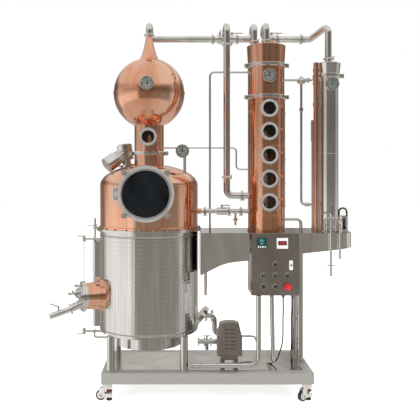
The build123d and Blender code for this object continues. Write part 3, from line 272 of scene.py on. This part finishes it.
# ---- finishes of the CAD pieces ----
FINISHES = {
    COPPER: ["copper_hood", "onion_head", "column_sections", "column_trays", "outlet_neck", "copper_riser"],
    JACKET: ["kettle"],
    POLISHED: ["mixer_motor", "vapour_lines", "clamps_and_bolts", "condenser_shell", "platform", "gauge_cases", "mixer_shaft",
               "outlet_lid", "valve_bodies", "service_pipes", "spirit_safe", "pump_body", "pump_impeller"],
    SATIN: ["manway_knobs", "condenser_tubes", "outlet_lever"],
    MACHINED: ["base_frame", "manway_frame", "manway_door", "sight_rings"],
    BROWN: ["control_box", "panel_door", "pump_motor"],
    BLACK: ["panel_instruments", "selector_knob", "heater_switch", "pump_switch", "mixer_switch"],
    RED: ["emergency_stop"],
    PANE: ["manway_glass"],
    GLASS: ["clear_parts"],
}
GROUPS = {"_lever": SATIN, "_lever_top": SATIN, "_lever_bottom": SATIN, "_needle": BLACK}
STARTS = {"caster_swivel": GREY_PAINT, "caster_wheel": RUBBER_AND_SLOT_SHADE, "levelling_foot": MAROON}


def finish_of(node):
    """The material for a CAD node, by its full name, its ending or its beginning."""
    for material, names in FINISHES.items():
        if node in names:
            return material
    for ending, material in GROUPS.items():
        if node.endswith(ending):
            return material
    return next(material for start, material in STARTS.items() if node.startswith(start))


def dress_cad():
    for name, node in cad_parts.items():
        node.data.materials.clear()
        node.data.materials.append(finish_of(name))


def repaint(node, material, inside):
    """Gives another material to the faces whose middle, in millimetres from the pot's axis, passes a test."""
    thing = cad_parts[node]
    thing.data.materials.append(material)
    for face in thing.data.polygons:
        spot = thing.matrix_world @ face.center
        if inside((spot.x - POT_X) * 1000, (spot.y - POT_Y) * 1000, spot.z * 1000):
            face.material_index = len(thing.data.materials) - 1


def second_finishes():
    """Parts of a CAD piece that are made of something else."""
    repaint("copper_hood", POLISHED, lambda x, y, z: z < 1235 and math.hypot(x, y) > 378)
    repaint("base_frame", POLISHED, lambda x, y, z: z > 205)
    repaint("outlet_neck", POLISHED, lambda x, y, z: math.hypot(x, y) > 491)
    repaint("panel_instruments", DIAL_WHITE, lambda x, y, z: x > 930 and x < 1025 and z > 1095)
    repaint("panel_instruments", DIAL_WHITE, lambda x, y, z: x > 1025 and z > 940)
    repaint("panel_instruments", TEAL, lambda x, y, z: x < 880 and z > 1095)
    for corner in ("front_left", "front_right", "rear_left", "rear_right"):
        repaint(f"levelling_foot_{corner}", RUBBER_AND_SLOT_SHADE, lambda x, y, z: z < 13)
        repaint(f"levelling_foot_{corner}", SATIN, lambda x, y, z: 13 < z < 61 or z > 73)


dress_cad()
second_finishes()


# ---- mesh tools ----
TO_FRONT = (0, -1, 0)
UP = (0, 0, 1)


class Piece:
    """One mesh built up from turned and boxed parts, measured in millimetres from the pot's axis."""

    def __init__(self):
        self.mesh = bmesh.new()

    def turned(self, start, way, *outline, sides=40):
        """Solid turned about an axis; the outline is (distance along the axis, radius) pairs."""
        axis = Vector(way).normalized()
        across = axis.orthogonal().normalized()
        beside = axis.cross(across)
        rings = []
        for distance, radius in outline:
            middle = Vector(start) + axis * distance
            ring = []
            for step in range(sides):
                angle = 2 * math.pi * step / sides
                spot = middle + (across * math.cos(angle) + beside * math.sin(angle)) * radius
                ring.append(self.mesh.verts.new(at(*spot)))
            rings.append(ring)
        for low, high in zip(rings, rings[1:]):
            for step in range(sides):
                after = (step + 1) % sides
                self.mesh.faces.new((low[step], low[after], high[after], high[step]))
        if outline[0] != outline[-1]:
            self.mesh.faces.new(reversed(rings[0]))
            self.mesh.faces.new(rings[-1])
        return self

    def hoop(self, centre, way, radius, thick, sides=96):
        """Ring of round wire or weld bead."""
        turns = [2 * math.pi * step / 8 for step in range(9)]
        outline = [(thick * math.sin(turn), radius + thick * math.cos(turn)) for turn in turns[:-1]]
        outline.append(outline[0])
        return self.turned(centre, way, *outline, sides=sides)

    def block(self, low, high):
        """Rectangular plate or bar between two opposite corners."""
        made = bmesh.ops.create_cube(self.mesh, size=1)["verts"]
        size = (Vector(high) - Vector(low)) / 1000
        middle = (Vector(high) + Vector(low)) / 2
        bmesh.ops.scale(self.mesh, vec=size, verts=made)
        bmesh.ops.translate(self.mesh, vec=at(*middle), verts=made)
        return self

    def done(self, name, material, body, bevel_mm=0.0):
        """Make the object, soften its edges and fasten it to its body."""
        bmesh.ops.remove_doubles(self.mesh, verts=self.mesh.verts, dist=1e-6)
        bmesh.ops.recalc_face_normals(self.mesh, faces=self.mesh.faces)
        data = bpy.data.meshes.new(name)
        self.mesh.to_mesh(data)
        self.mesh.free()
        data.shade_smooth()
        data.set_sharp_from_angle(angle=math.radians(38))
        data.materials.append(material)
        thing = bpy.data.objects.new(name, data)
        bpy.context.scene.collection.objects.link(thing)
        if bevel_mm:
            bevel = thing.modifiers.new("soft edges", "BEVEL")
            bevel.width = bevel_mm / 1000
            bevel.segments = 2
            bevel.limit_method = "ANGLE"
        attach(thing, body)
        return thing


def cable(name, points, radius_mm, material, body):
    """Round cable that runs smoothly through the points."""
    curve = bpy.data.curves.new(name, "CURVE")
    curve.dimensions = "3D"
    curve.bevel_depth = radius_mm / 1000
    curve.bevel_resolution = 3
    curve.use_fill_caps = True
    line = curve.splines.new("BEZIER")
    line.bezier_points.add(len(points) - 1)
    for knot, point in zip(line.bezier_points, points):
        knot.co = at(*point)
        knot.handle_left_type = "AUTO"
        knot.handle_right_type = "AUTO"
    curve.materials.append(material)
    thing = bpy.data.objects.new(name, curve)
    bpy.context.scene.collection.objects.link(thing)
    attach(thing, body)


def number(name, text, place, size_mm, material, body):
    """Raised figures that face the front."""
    curve = bpy.data.curves.new(name, "FONT")
    curve.body = text
    curve.size = size_mm / 1000
    curve.extrude = 0.0002
    curve.align_x = "CENTER"
    curve.align_y = "CENTER"
    curve.materials.append(material)
    thing = bpy.data.objects.new(name, curve)
    thing.location = at(*place)
    thing.rotation_euler = (math.pi / 2, 0, 0)
    bpy.context.scene.collection.objects.link(thing)
    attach(thing, body)


# ---- dials ----
DIAL_START, DIAL_SWEEP = 225, 270
DIAL_STEPS = 30
DIAL_FACE, DIAL_GLASS = 9, 24


def dial(name):
    """White face with raised graduations and figures, and a bright bezel round the glass."""
    low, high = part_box(name + "_needle")
    x = ((low.x + high.x) / 2 - POT_X) * 1000
    back = (high.y - POT_Y) * 1000 + 11
    z = low.z * 1000 + 6
    face = Piece().turned((x, back - 8.1, z), TO_FRONT, (0, 42.6), (0.9, 42.6), (0.9, 40), (0.6, 39), (0.6, 3))
    face.done(name + "_face", DIAL_WHITE, "skid")
    marks = Piece()
    for step in range(DIAL_STEPS + 1):
        angle = math.radians(DIAL_START - DIAL_SWEEP * step / DIAL_STEPS)
        long_mark = step % 5 == 0
        inner = 30 if long_mark else 33.5
        way = (math.cos(angle), 0, math.sin(angle))
        start = (x + inner * way[0], back - DIAL_FACE, z + inner * way[2])
        marks.turned(start, way, (0, 0.9 if long_mark else 0.5), (37.5 - inner, 0.9 if long_mark else 0.5), sides=6)
        if long_mark and step not in (0, DIAL_STEPS):
            number(f"{name}_figure_{step}", str(step * 4), (x + 22 * way[0], back - DIAL_FACE, z + 22 * way[2]), 8,
                   INK, "skid")
    marks.done(name + "_marks", INK, "skid")
    bezel = Piece().turned((x, back - DIAL_GLASS + 3, z), TO_FRONT, (0, 43), (0, 49.5), (4, 50.5), (6.5, 48.5), (6.5, 45.5),
                           (3.4, 43), (0, 43), sides=64)
    bezel.done(name + "_bezel", POLISHED, "skid")


# ---- kettle ----
POT_RADIUS = 375
JACKET_FROM, JACKET_TO = 484, 1186
DIMPLE_PITCH = 30
DIMPLE_DEPTH = 0.9
DIMPLE_SAMPLES = 6


def jacket():
    """Pillow-plate sheet of the heating jacket: a grid of spot-welded dimples."""
    round_count = round(2 * math.pi * POT_RADIUS / DIMPLE_PITCH)
    rows = round((JACKET_TO - JACKET_FROM) / DIMPLE_PITCH)
    columns_at = round_count * DIMPLE_SAMPLES
    rows_at = rows * DIMPLE_SAMPLES
    sheet = bmesh.new()
    grid = []
    for row in range(rows_at + 1):
        z = JACKET_FROM + (JACKET_TO - JACKET_FROM) * row / rows_at
        edge = min(1, 4 * min(row, rows_at - row) / DIMPLE_SAMPLES)
        line = []
        for column in range(columns_at):
            angle = 2 * math.pi * column / columns_at
            across = math.cos(2 * math.pi * column / DIMPLE_SAMPLES)
            along = math.cos(2 * math.pi * row / DIMPLE_SAMPLES)
            dip = ((1 + across) * (1 + along) / 4) ** 1.5
            radius = POT_RADIUS + 0.5 + DIMPLE_DEPTH * edge * (1 - dip)
            line.append(sheet.verts.new(at(radius * math.cos(angle), radius * math.sin(angle), z)))
        grid.append(line)
    for low, high in zip(grid, grid[1:]):
        for column in range(columns_at):
            after = (column + 1) % columns_at
            sheet.faces.new((low[column], low[after], high[after], high[column]))
    data = bpy.data.meshes.new("kettle_jacket_sheet")
    sheet.to_mesh(data)
    sheet.free()
    data.shade_smooth()
    data.materials.append(JACKET)
    thing = bpy.data.objects.new("kettle_jacket_sheet", data)
    bpy.context.scene.collection.objects.link(thing)
    thick = thing.modifiers.new("sheet", "SOLIDIFY")
    thick.thickness = 0.0012
    thick.offset = -1
    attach(thing, "skid")
    for name, z in (("low", JACKET_FROM - 2), ("high", JACKET_TO + 2)):
        Piece().hoop((0, 0, z), UP, POT_RADIUS + 1, 2.6, 160).done(f"jacket_weld_{name}", SATIN, "skid")


# ---- welds and seams ----
def seams():
    """Weld beads on the vessels and bright rings under the larger clamps."""
    Piece().hoop((0, 0, 2263), UP, 272.3, 1.6, 160).done("onion_equator_weld", COPPER, "skid")
    Piece().hoop((0, 0, 1560), UP, 375.2, 1.4, 160).done("shoulder_weld", COPPER, "skid")
    for name, z in (("low", 1330), ("middle", 1860), ("high", 2190)):
        Piece().hoop((901, 0, z), UP, 140.2, 1.3, 128).done(f"column_weld_{name}", COPPER, "skid")
    for name, z in (("low", 1240), ("middle", 1800), ("high", 2372)):
        Piece().hoop((1380, 0, z), UP, 76.4, 1.5, 96).done(f"condenser_weld_{name}", POLISHED, "skid")
    Piece().turned((1380, 0, 1212.4), UP, (0, 77), (0, 92), (6, 92), (9, 84), (9, 77), (0, 77), sides=96).done(
        "condenser_base_ring", POLISHED, "skid")


# ---- clamps ----
SMALL_CLAMPS = [((0, 0, 2712), UP, 25.4)]
SMALL_CLAMPS += [((x, 150, 2716), (1, 0, 0), 25.4) for x in (498, 690, 1010, 1200)]
SMALL_CLAMPS += [((598, 0, 2640), UP, 25.4), ((598, 0, 1620), UP, 25.4), ((901, 0, 2666), UP, 25.4),
                 ((812, 30, 2666), UP, 25.4), ((1380, 0, 2530), UP, 25.4), ((715, 0, 1478), (1, 0, 0), 25.4)]
SMALL_CLAMPS += [((x, 0, 1358), (1, 0, 0), 19) for x in (430, 615, 705)]


def wing_nuts():
    """A two-eared nut on the screw of every pipe clamp."""
    nuts = Piece()
    for centre, axis, radius in SMALL_CLAMPS:
        along = Vector(axis).cross(Vector(TO_FRONT))
        nut = Vector(centre) + Vector(TO_FRONT) * (radius + 18) + along * 20
        nuts.turned(nut, along, (0, 7), (9, 5.5), (11, 3.5), sides=20)
        for side in (-1, 1):
            ear = (Vector(axis) * side + along * 0.7).normalized()
            nuts.turned(nut + along * 4, ear, (3, 2.6), (11, 4.4), (17, 4.6), (20, 2.4), sides=14)
    nuts.done("clamp_wing_nuts", SATIN, "skid")


# ---- manway ----
MANWAY_Z, MANWAY_FRONT = 1500, -462.5
LUG_REACH = 212 * math.sqrt(0.5)


def manway():
    """Lobed hand nuts, the gasket that shows at the joint and the retaining ring round the pane."""
    grips = Piece()
    for side in (-1, 1):
        for height in (-1, 1):
            x, z = side * LUG_REACH, MANWAY_Z + height * LUG_REACH
            for step in range(5):
                angle = 2 * math.pi * step / 5
                lobe = (x + 14 * math.cos(angle), MANWAY_FRONT - 11, z + 14 * math.sin(angle))
                grips.turned(lobe, TO_FRONT, (0, 5), (2, 8), (13, 8), (16, 5.5), sides=18)
            grips.turned((x, MANWAY_FRONT - 25, z), TO_FRONT, (0, 9), (4, 9), (7, 6), sides=24)
    grips.done("manway_hand_nuts", SATIN, "manway_door", 0.6)
    Piece().hoop((0, -446.2, MANWAY_Z), TO_FRONT, 196, 2.6, 128).done("manway_gasket", RUBBER_AND_SLOT_SHADE, "skid")
    Piece().turned((0, MANWAY_FRONT + 0.5, MANWAY_Z), TO_FRONT, (0, 166), (0, 177), (3, 176), (4, 172), (2, 166), (0, 166),
                   sides=128).done("manway_pane_ring", POLISHED, "manway_door")


# ---- control panel ----
PANEL_FRONT = -290
PANEL_LEFT, PANEL_BOTTOM = 841, 827
PANEL_STEP_X, PANEL_STEP_Z = 87, 82
SEGMENTS = {"0": "abcdef", "2": "abged", "5": "afgcd", "6": "afgedc", "7": "abc", "8": "abcdefg"}


def panel_spot(column, row):
    return (PANEL_LEFT + PANEL_STEP_X * column, PANEL_BOTTOM + PANEL_STEP_Z * row)


def digits(piece, text, x, z, height):
    """Seven-segment figures drawn with small bars."""
    y = PANEL_FRONT - 10.6
    half, wide, bar = height / 2, height * 0.5, height * 0.09
    for place, figure in enumerate(text):
        left = x + place * height * 0.78
        spots = {"a": (left, z + height - bar, wide, bar), "g": (left, z + half - bar / 2, wide, bar),
                 "d": (left, z, wide, bar), "f": (left - bar, z + half, bar, half),
                 "e": (left - bar, z, bar, half), "b": (left + wide, z + half, bar, half),
                 "c": (left + wide, z, bar, half)}
        for name in SEGMENTS[figure]:
            low_x, low_z, across, up = spots[name]
            piece.block((low_x, y - 0.4, low_z), (low_x + across, y, low_z + up))


def panel():
    """Displays and buttons of the two meters, bezels of the switches, the lock and the vents on the box's side."""
    body = "panel_door"
    Piece().block((799, -300.4, 1127), (862, -299, 1172)).done("controller_screen", TEAL, body, 0.5)
    lit = Piece()
    digits(lit, "785", 812, 1152, 15)
    digits(lit, "780", 816, 1133, 11)
    lit.done("controller_figures", LIT_WHITE, body)
    keys = Piece()
    for step in range(4):
        keys.block((801 + 16 * step, -301, 1110), (811 + 16 * step, -299, 1120))
    keys.done("controller_keys", DIAL_WHITE, body, 0.8)
    Piece().block((948, -300.4, 1126), (1010, -299, 1158)).done("meter_window", DARK_RED, body, 0.5)
    lit = Piece()
    digits(lit, "220", 960, 1133, 18)
    lit.done("meter_figures", LIT_RED, body)
    rims = Piece()
    spots = [panel_spot(1, 2), panel_spot(0, 1), panel_spot(1, 1), panel_spot(2, 1), panel_spot(0, 0),
             panel_spot(1, 0)]
    for x, z in spots:
        rims.turned((x, PANEL_FRONT, z), TO_FRONT, (0, 15), (0, 18.5), (2.5, 18.5), (5, 16), (5, 15), (0, 15))
    x, z = panel_spot(2, 0)
    rims.turned((x, PANEL_FRONT, z), TO_FRONT, (0, 12), (0, 21), (3, 21), (6, 15), (6, 12), (0, 12))
    rims.done("switch_bezels", POLISHED, body)
    x, z = panel_spot(2, 0)
    Piece().turned((x, PANEL_FRONT - 25, z), TO_FRONT, (0, 23.5), (2, 25), (6, 24.5), (9, 21), (11, 14), (12, 4)).done(
        "emergency_stop_cap", RED, "emergency_stop")
    for name, (x, z) in (("selector_knob", spots[0]), ("heater_switch", spots[1]), ("pump_switch", spots[2]),
                         ("mixer_switch", spots[3])):
        Piece().block((x - 0.9, PANEL_FRONT - 20.6, z + 1), (x + 0.9, PANEL_FRONT - 19, z + 12)).done(
            name + "_mark", DIAL_WHITE, name)
    lamps = Piece()
    for x, z in spots[4:]:
        lamps.turned((x, PANEL_FRONT - 15, z), TO_FRONT, (0, 9.5), (3, 9), (5.5, 6.5), (6.5, 2), sides=28)
    lamps.done("panel_lamp_caps", BLACK, body)
    Piece().turned((1042, PANEL_FRONT - 8, 982), TO_FRONT, (0, 8), (3, 8), (5, 6.5), (5, 2)).block(
        (1040.5, PANEL_FRONT - 14.4, 972), (1043.5, PANEL_FRONT - 12, 992)).done("door_lock", POLISHED, body)
    dots = Piece()
    for row in range(5):
        for step in range(3):
            dots.turned((1102, -230 + 26 * step, 820 + 16 * row), (1, 0, 0), (0, 5), (1.2, 4.4), (1.2, 1), sides=14)
    dots.done("box_side_vents", BLACK, "skid")


# ---- motors ----
def motors():
    """Cooling ribs of the pump's motor, and the slots of its guard drawn as dark strips of painted shade; the mixer's
    ribs and guard are made in mixer().
    """
    ribs = Piece()
    for step in range(28):
        angle = 2 * math.pi * step / 28
        x, z = 604 + 79 * math.cos(angle), 410 + 79 * math.sin(angle)
        if z > 345:
            ribs.turned((x, -128, z), (0, 1, 0), (0, 3.2), (92, 3.2), sides=8)
    ribs.done("pump_motor_ribs", BROWN, "skid")
    # Painted shade: the cover's slots are dark strips of the black rubber material laid on its face, standing for
    # shaded openings.
    slot_shade = Piece()
    for row in range(6):
        z = 355 + 28 * row
        for side in (-22, 22):
            slot_shade.block((604 + side - 17, -218.5, z + 0.6), (604 + side + 17, -216.2, z + 4.4))
    slot_shade.done("pump_cover_slot_shade", RUBBER_AND_SLOT_SHADE, "skid")


def mixer():
    tilt = math.radians(8)
    axis = Vector((-math.sin(tilt), 0, math.cos(tilt)))
    foot_height = 1558 + 161.5 * math.sqrt(1 - (math.hypot(-175, 90) / 375) ** 2)
    foot = Vector((-175, 90, foot_height))
    way = Vector((-0.72, -0.42, -0.55)).normalized()
    centre = foot + axis * 120
    across = way.orthogonal().normalized()
    beside = way.cross(across)
    ribs = Piece()
    for step in range(24):
        angle = 2 * math.pi * step / 24
        spot = centre + way * 58 + (across * math.cos(angle) + beside * math.sin(angle)) * 50.5
        ribs.turned(spot, way, (0, 2), (3, 2.8), (38, 2.8), (40, 2), sides=8)
    ribs.done("mixer_motor_ribs", GREY_PAINT, "skid")
    guard = Piece()
    for radius in (14, 28, 42, 54):
        guard.hoop(centre + way * 190, way, radius, 2.2, 48)
    guard.done("mixer_fan_guard", SATIN, "skid")
    cap = Piece()
    cap.turned(centre + axis * 56, axis, (0, 50), (4, 50), (10, 42), (12, 20), sides=48)
    for step in range(6):
        angle = math.pi * step / 3
        beside_axis = axis.orthogonal().normalized()
        spot = centre + axis * 60 + (beside_axis * math.cos(angle) + axis.cross(beside_axis) * math.sin(angle)) * 45
        cap.turned(spot, axis, (0, 4.5), (5, 4.5), (6, 3), sides=6)
    cap.done("mixer_gear_cap", SATIN, "skid")


# ---- cables ----
def cables():
    """Power leads from the glands under the control box to the mixer's motor, the pump and the deck."""
    cable("pump_cable", [(1000, -200, 742), (1000, -196, 600), (985, -150, 320), (930, -90, 214), (760, -60, 213),
                         (660, -90, 213)], 5, RUBBER_AND_SLOT_SHADE, "skid")
    cable("mixer_cable", [(1070, -200, 742), (1070, -190, 640), (1085, -60, 560), (1120, 120, 420), (1130, 205, 214)],
          5, RUBBER_AND_SLOT_SHADE, "skid")
    for name, x in (("pump", 1000), ("mixer", 1070), ("supply", 916)):
        Piece().turned((x, -200, 744), (0, 0, -1), (0, 9), (6, 9), (10, 7), (16, 6.4), sides=24).done(
            name + "_cable_gland", BLACK, "skid")


# ---- casters ----
def caster(corner):
    """Wheel hubs, axle nuts and thumbwheel teeth."""
    wheel = f"caster_wheel_{corner}"
    low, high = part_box(wheel)
    centre = (low + high) / 2
    swivel_low, swivel_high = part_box(f"caster_swivel_{corner}")
    foot_low, foot_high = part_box(f"levelling_foot_{corner}")
    foot = (foot_low + foot_high) / 2
    trail = Vector((centre.x - foot.x, centre.y - foot.y, 0)).normalized()
    axle = Vector((-trail.y, trail.x, 0))
    middle = Vector(((centre.x - POT_X) * 1000, (centre.y - POT_Y) * 1000, centre.z * 1000))
    hub = Piece()
    nuts = Piece()
    for side in (-1, 1):
        out = axle * side
        hub.turned(middle + out * 11.9, out, (0, 27), (0.9, 26), (0.9, 20), (0.2, 18), (0.2, 9), (1.6, 8), (1.6, 5.6),
                   sides=36)
        nuts.turned(middle + out * 20.8, out, (0, 9), (5, 9), (6, 7.4), sides=6)
    hub.done(wheel + "_hub", GREY_PAINT, wheel)
    nuts.done(f"caster_axle_nuts_{corner}", POLISHED, f"caster_swivel_{corner}", 0.4)
    x, y = (foot.x - POT_X) * 1000, (foot.y - POT_Y) * 1000
    teeth = Piece()
    for step in range(24):
        angle = 2 * math.pi * step / 24
        teeth.turned((x + 21.5 * math.cos(angle), y + 21.5 * math.sin(angle), 62.5), UP, (0, 1.6), (1, 2.2), (8, 2.2),
                     (9, 1.6), sides=8)
    teeth.done(f"thumbwheel_teeth_{corner}", MAROON, f"levelling_foot_{corner}")


def details():
    for name in ("onion_gauge", "column_gauge", "condenser_gauge", "pot_gauge"):
        dial(name)
    jacket()
    seams()
    wing_nuts()
    manway()
    panel()
    motors()
    mixer()
    cables()
    for corner in ("front_left", "front_right", "rear_left", "rear_right"):
        caster(corner)


details()


# ---- studio ----
# The room is dim towards the camera, with a lit backdrop behind the still and a soft lamp on either side.
# A soft lamp is (heading of its middle in degrees from the camera's side, half its width, brightness).
ROOM_LEVEL = 0.30
BACKDROP_LEVEL = 0.90
BACKDROP_FROM = 150
SOFT_LAMPS = ((-75, 35, 1.0), (100, 15, 0.7))
LAMP_EDGE = 15
UPPER_SHARE = 0.6
BAR_DARKNESS = 0.75
WALLS_MEET = (-0.10, 0.10)
WARM_WHITE = (1.0, 0.98, 0.95)
WARM_DARK = (1.0, 0.88, 0.74)
WHITE_LEVEL = 0.7
CEILING_FROM, CEILING_TO = 0.24, 0.50
GROUND_FROM, GROUND_TO = 0.30, 0.45


class WorldNodes:
    """Short calls for building the world's node tree."""

    def __init__(self, world):
        world.use_nodes = True
        self.tree = world.node_tree
        self.tree.nodes.clear()

    def add(self, kind, **settings):
        node = self.tree.nodes.new(kind)
        for name, value in settings.items():
            setattr(node, name, value)
        return node

    def link(self, source, target):
        self.tree.links.new(source, target)

    def math(self, operation, first, second):
        node = self.add("ShaderNodeMath", operation=operation)
        for socket, value in zip(node.inputs, (first, second)):
            if isinstance(value, (int, float)):
                socket.default_value = value
            else:
                self.link(value, socket)
        return node.outputs["Value"]

    def span(self, value, low, high):
        node = self.add("ShaderNodeMapRange", interpolation_type="SMOOTHSTEP")
        node.inputs["From Min"].default_value = low
        node.inputs["From Max"].default_value = high
        self.link(value, node.inputs["Value"])
        return node.outputs["Result"]

    def mix(self, factor, first, second):
        node = self.add("ShaderNodeMix", data_type="RGBA")
        self.link(factor, node.inputs["Factor"])
        for socket, value in ((node.inputs["A"], first), (node.inputs["B"], second)):
            if isinstance(value, tuple):
                socket.default_value = (*value, 1)
            else:
                self.link(value, socket)
        return node.outputs["Result"]


    def wall(self, turn, levels):
        """Brightness that changes with the heading; a colour ramp holds 32 stops at most."""
        ramp = self.add("ShaderNodeValToRGB")
        stops = ramp.color_ramp.elements
        while len(stops) < len(levels):
            stops.new(0.5)
        for stop, (angle, level) in zip(stops, levels):
            stop.position = (angle + 180) / 360
            share = min(1, level / WHITE_LEVEL)
            stop.color = (*(level * (dark + (light - dark) * share) for dark, light in zip(WARM_DARK, WARM_WHITE)), 1)
        self.link(turn, ramp.inputs["Fac"])
        return ramp.outputs["Color"]

    def bars(self, heading, up):
        """Share of dark upright things in the room: irregular bars, denser near eye level."""
        place = self.add("ShaderNodeCombineXYZ")
        self.link(self.math("MULTIPLY", heading, 9), place.inputs["X"])
        self.link(self.math("MULTIPLY", up, 5), place.inputs["Z"])
        noise = self.add("ShaderNodeTexNoise")
        noise.inputs["Scale"].default_value = 1
        noise.inputs["Detail"].default_value = 5
        noise.inputs["Roughness"].default_value = 0.7
        self.link(place.outputs["Vector"], noise.inputs["Vector"])
        return self.math("MULTIPLY", self.span(noise.outputs["Fac"], 0.50, 0.66), BAR_DARKNESS)


def round_the_room(share):
    """Brightness all round the room as (heading, level) pairs, from the backdrop round to the backdrop."""
    levels = [(-180, BACKDROP_LEVEL), (-BACKDROP_FROM, ROOM_LEVEL)]
    for middle, half, level in SOFT_LAMPS:
        levels += [(middle - half - LAMP_EDGE, ROOM_LEVEL), (middle - half, level)]
        levels += [(middle + half, level), (middle + half + LAMP_EDGE, ROOM_LEVEL)]
    levels += [(BACKDROP_FROM, ROOM_LEVEL), (180, BACKDROP_LEVEL)]
    return [(heading, level * share) for heading, level in levels]


def studio_world():
    """White to the camera; reflections see a room with upright bands, a bright ceiling and a pale ground."""
    world = bpy.data.worlds.new("studio")
    bpy.context.scene.world = world
    nodes = WorldNodes(world)
    axes = nodes.add("ShaderNodeSeparateXYZ")
    direction = nodes.add("ShaderNodeTexCoord").outputs["Generated"]
    nodes.link(direction, axes.inputs[0])
    heading = nodes.math("ARCTAN2", axes.outputs["X"], nodes.math("MULTIPLY", axes.outputs["Y"], -1))
    ripple = nodes.add("ShaderNodeTexNoise")
    ripple.inputs["Scale"].default_value = 3
    nodes.link(direction, ripple.inputs["Vector"])
    waver = nodes.math("MULTIPLY", nodes.math("SUBTRACT", ripple.outputs["Fac"], 0.5), 0.25)
    turn = nodes.math("ADD", nodes.math("DIVIDE", nodes.math("ADD", heading, waver), 2 * math.pi), 0.5)
    up = axes.outputs["Z"]
    bars = nodes.bars(heading, up)
    dark = (0.05, 0.045, 0.04)
    low_wall = nodes.mix(nodes.math("MULTIPLY", bars, 0.5), nodes.wall(turn, round_the_room(1)), dark)
    high_wall = nodes.mix(bars, nodes.wall(turn, round_the_room(UPPER_SHARE)), dark)
    wall = nodes.mix(nodes.span(up, *WALLS_MEET), low_wall, high_wall)
    room = nodes.mix(nodes.span(up, CEILING_FROM, CEILING_TO), wall, (0.80, 0.79, 0.77))
    down = nodes.math("MULTIPLY", up, -1)
    room = nodes.mix(nodes.span(down, GROUND_FROM, GROUND_TO), room, (0.62, 0.60, 0.57))
    seen = nodes.mix(nodes.add("ShaderNodeLightPath").outputs["Is Camera Ray"], room, (1.0, 1.0, 1.0))
    background = nodes.add("ShaderNodeBackground")
    nodes.link(seen, background.inputs["Color"])
    nodes.link(background.outputs["Background"], nodes.add("ShaderNodeOutputWorld").inputs["Surface"])


def studio_floor():
    """Large pale floor with a very faint mottling; metal reflects the room through it."""
    finish = Finish("floor", (0.93, 0.93, 0.93), 0, 0.55)
    finish.colour(finish.colours(finish.noise(1.5, detail=2), (0.3, (0.90, 0.90, 0.90)), (0.7, (0.96, 0.96, 0.96))))
    finish.shader.inputs["Emission Color"].default_value = (1, 1, 1, 1)
    finish.shader.inputs["Emission Strength"].default_value = 0.62
    unseen = finish.add("ShaderNodeBsdfTransparent")
    mix = finish.add("ShaderNodeMixShader")
    finish.link(finish.add("ShaderNodeLightPath").outputs["Is Glossy Ray"], mix.inputs["Fac"])
    finish.link(finish.shader.outputs["BSDF"], mix.inputs[1])
    finish.link(unseen.outputs["BSDF"], mix.inputs[2])
    finish.link(mix.outputs["Shader"], finish.tree.nodes["Material Output"].inputs["Surface"])
    half = 30
    mesh = bpy.data.meshes.new("floor")
    corners = [(-half, -half, 0), (half, -half, 0), (half, half, 0), (-half, half, 0)]
    mesh.from_pydata(corners, [], [(0, 1, 2, 3)])
    floor = bpy.data.objects.new("floor", mesh)
    bpy.context.scene.collection.objects.link(floor)
    mesh.materials.append(finish.material)


def softbox(name, place, target, width, height, power):
    light = bpy.data.lights.new(name, "AREA")
    light.shape = "RECTANGLE"
    light.size = width
    light.size_y = height
    light.energy = power
    lamp = bpy.data.objects.new(name, light)
    bpy.context.scene.collection.objects.link(lamp)
    lamp.location = place
    lamp.rotation_mode = "QUATERNION"
    lamp.rotation_quaternion = (target - place).to_track_quat("-Z", "Y")
    lamp.visible_glossy = False


def studio():
    studio_world()
    studio_floor()
    middle = at(400, 0, 1300)
    softbox("key", at(-2600, -2600, 2600), middle, 1.4, 2.6, 90)
    softbox("fill", at(3600, -2200, 2200), middle, 0.5, 2.4, 30)
    softbox("top", at(400, -300, 4600), middle, 3.5, 2.5, 110)
    bpy.context.scene.view_settings.view_transform = "Standard"


def camera():
    """Level camera at mid height, far in front, its frame shifted rather than tilted."""
    data = bpy.data.cameras.new("camera")
    data.lens = 53.1
    data.sensor_width = 36
    data.shift_x = 0.067
    data.shift_y = -0.071
    view = bpy.data.objects.new("camera", data)
    bpy.context.scene.collection.objects.link(view)
    view.location = at(252, -4774, 1597)
    view.rotation_euler = (math.pi / 2, 0, 0)
    bpy.context.scene.camera = view


studio()
camera()
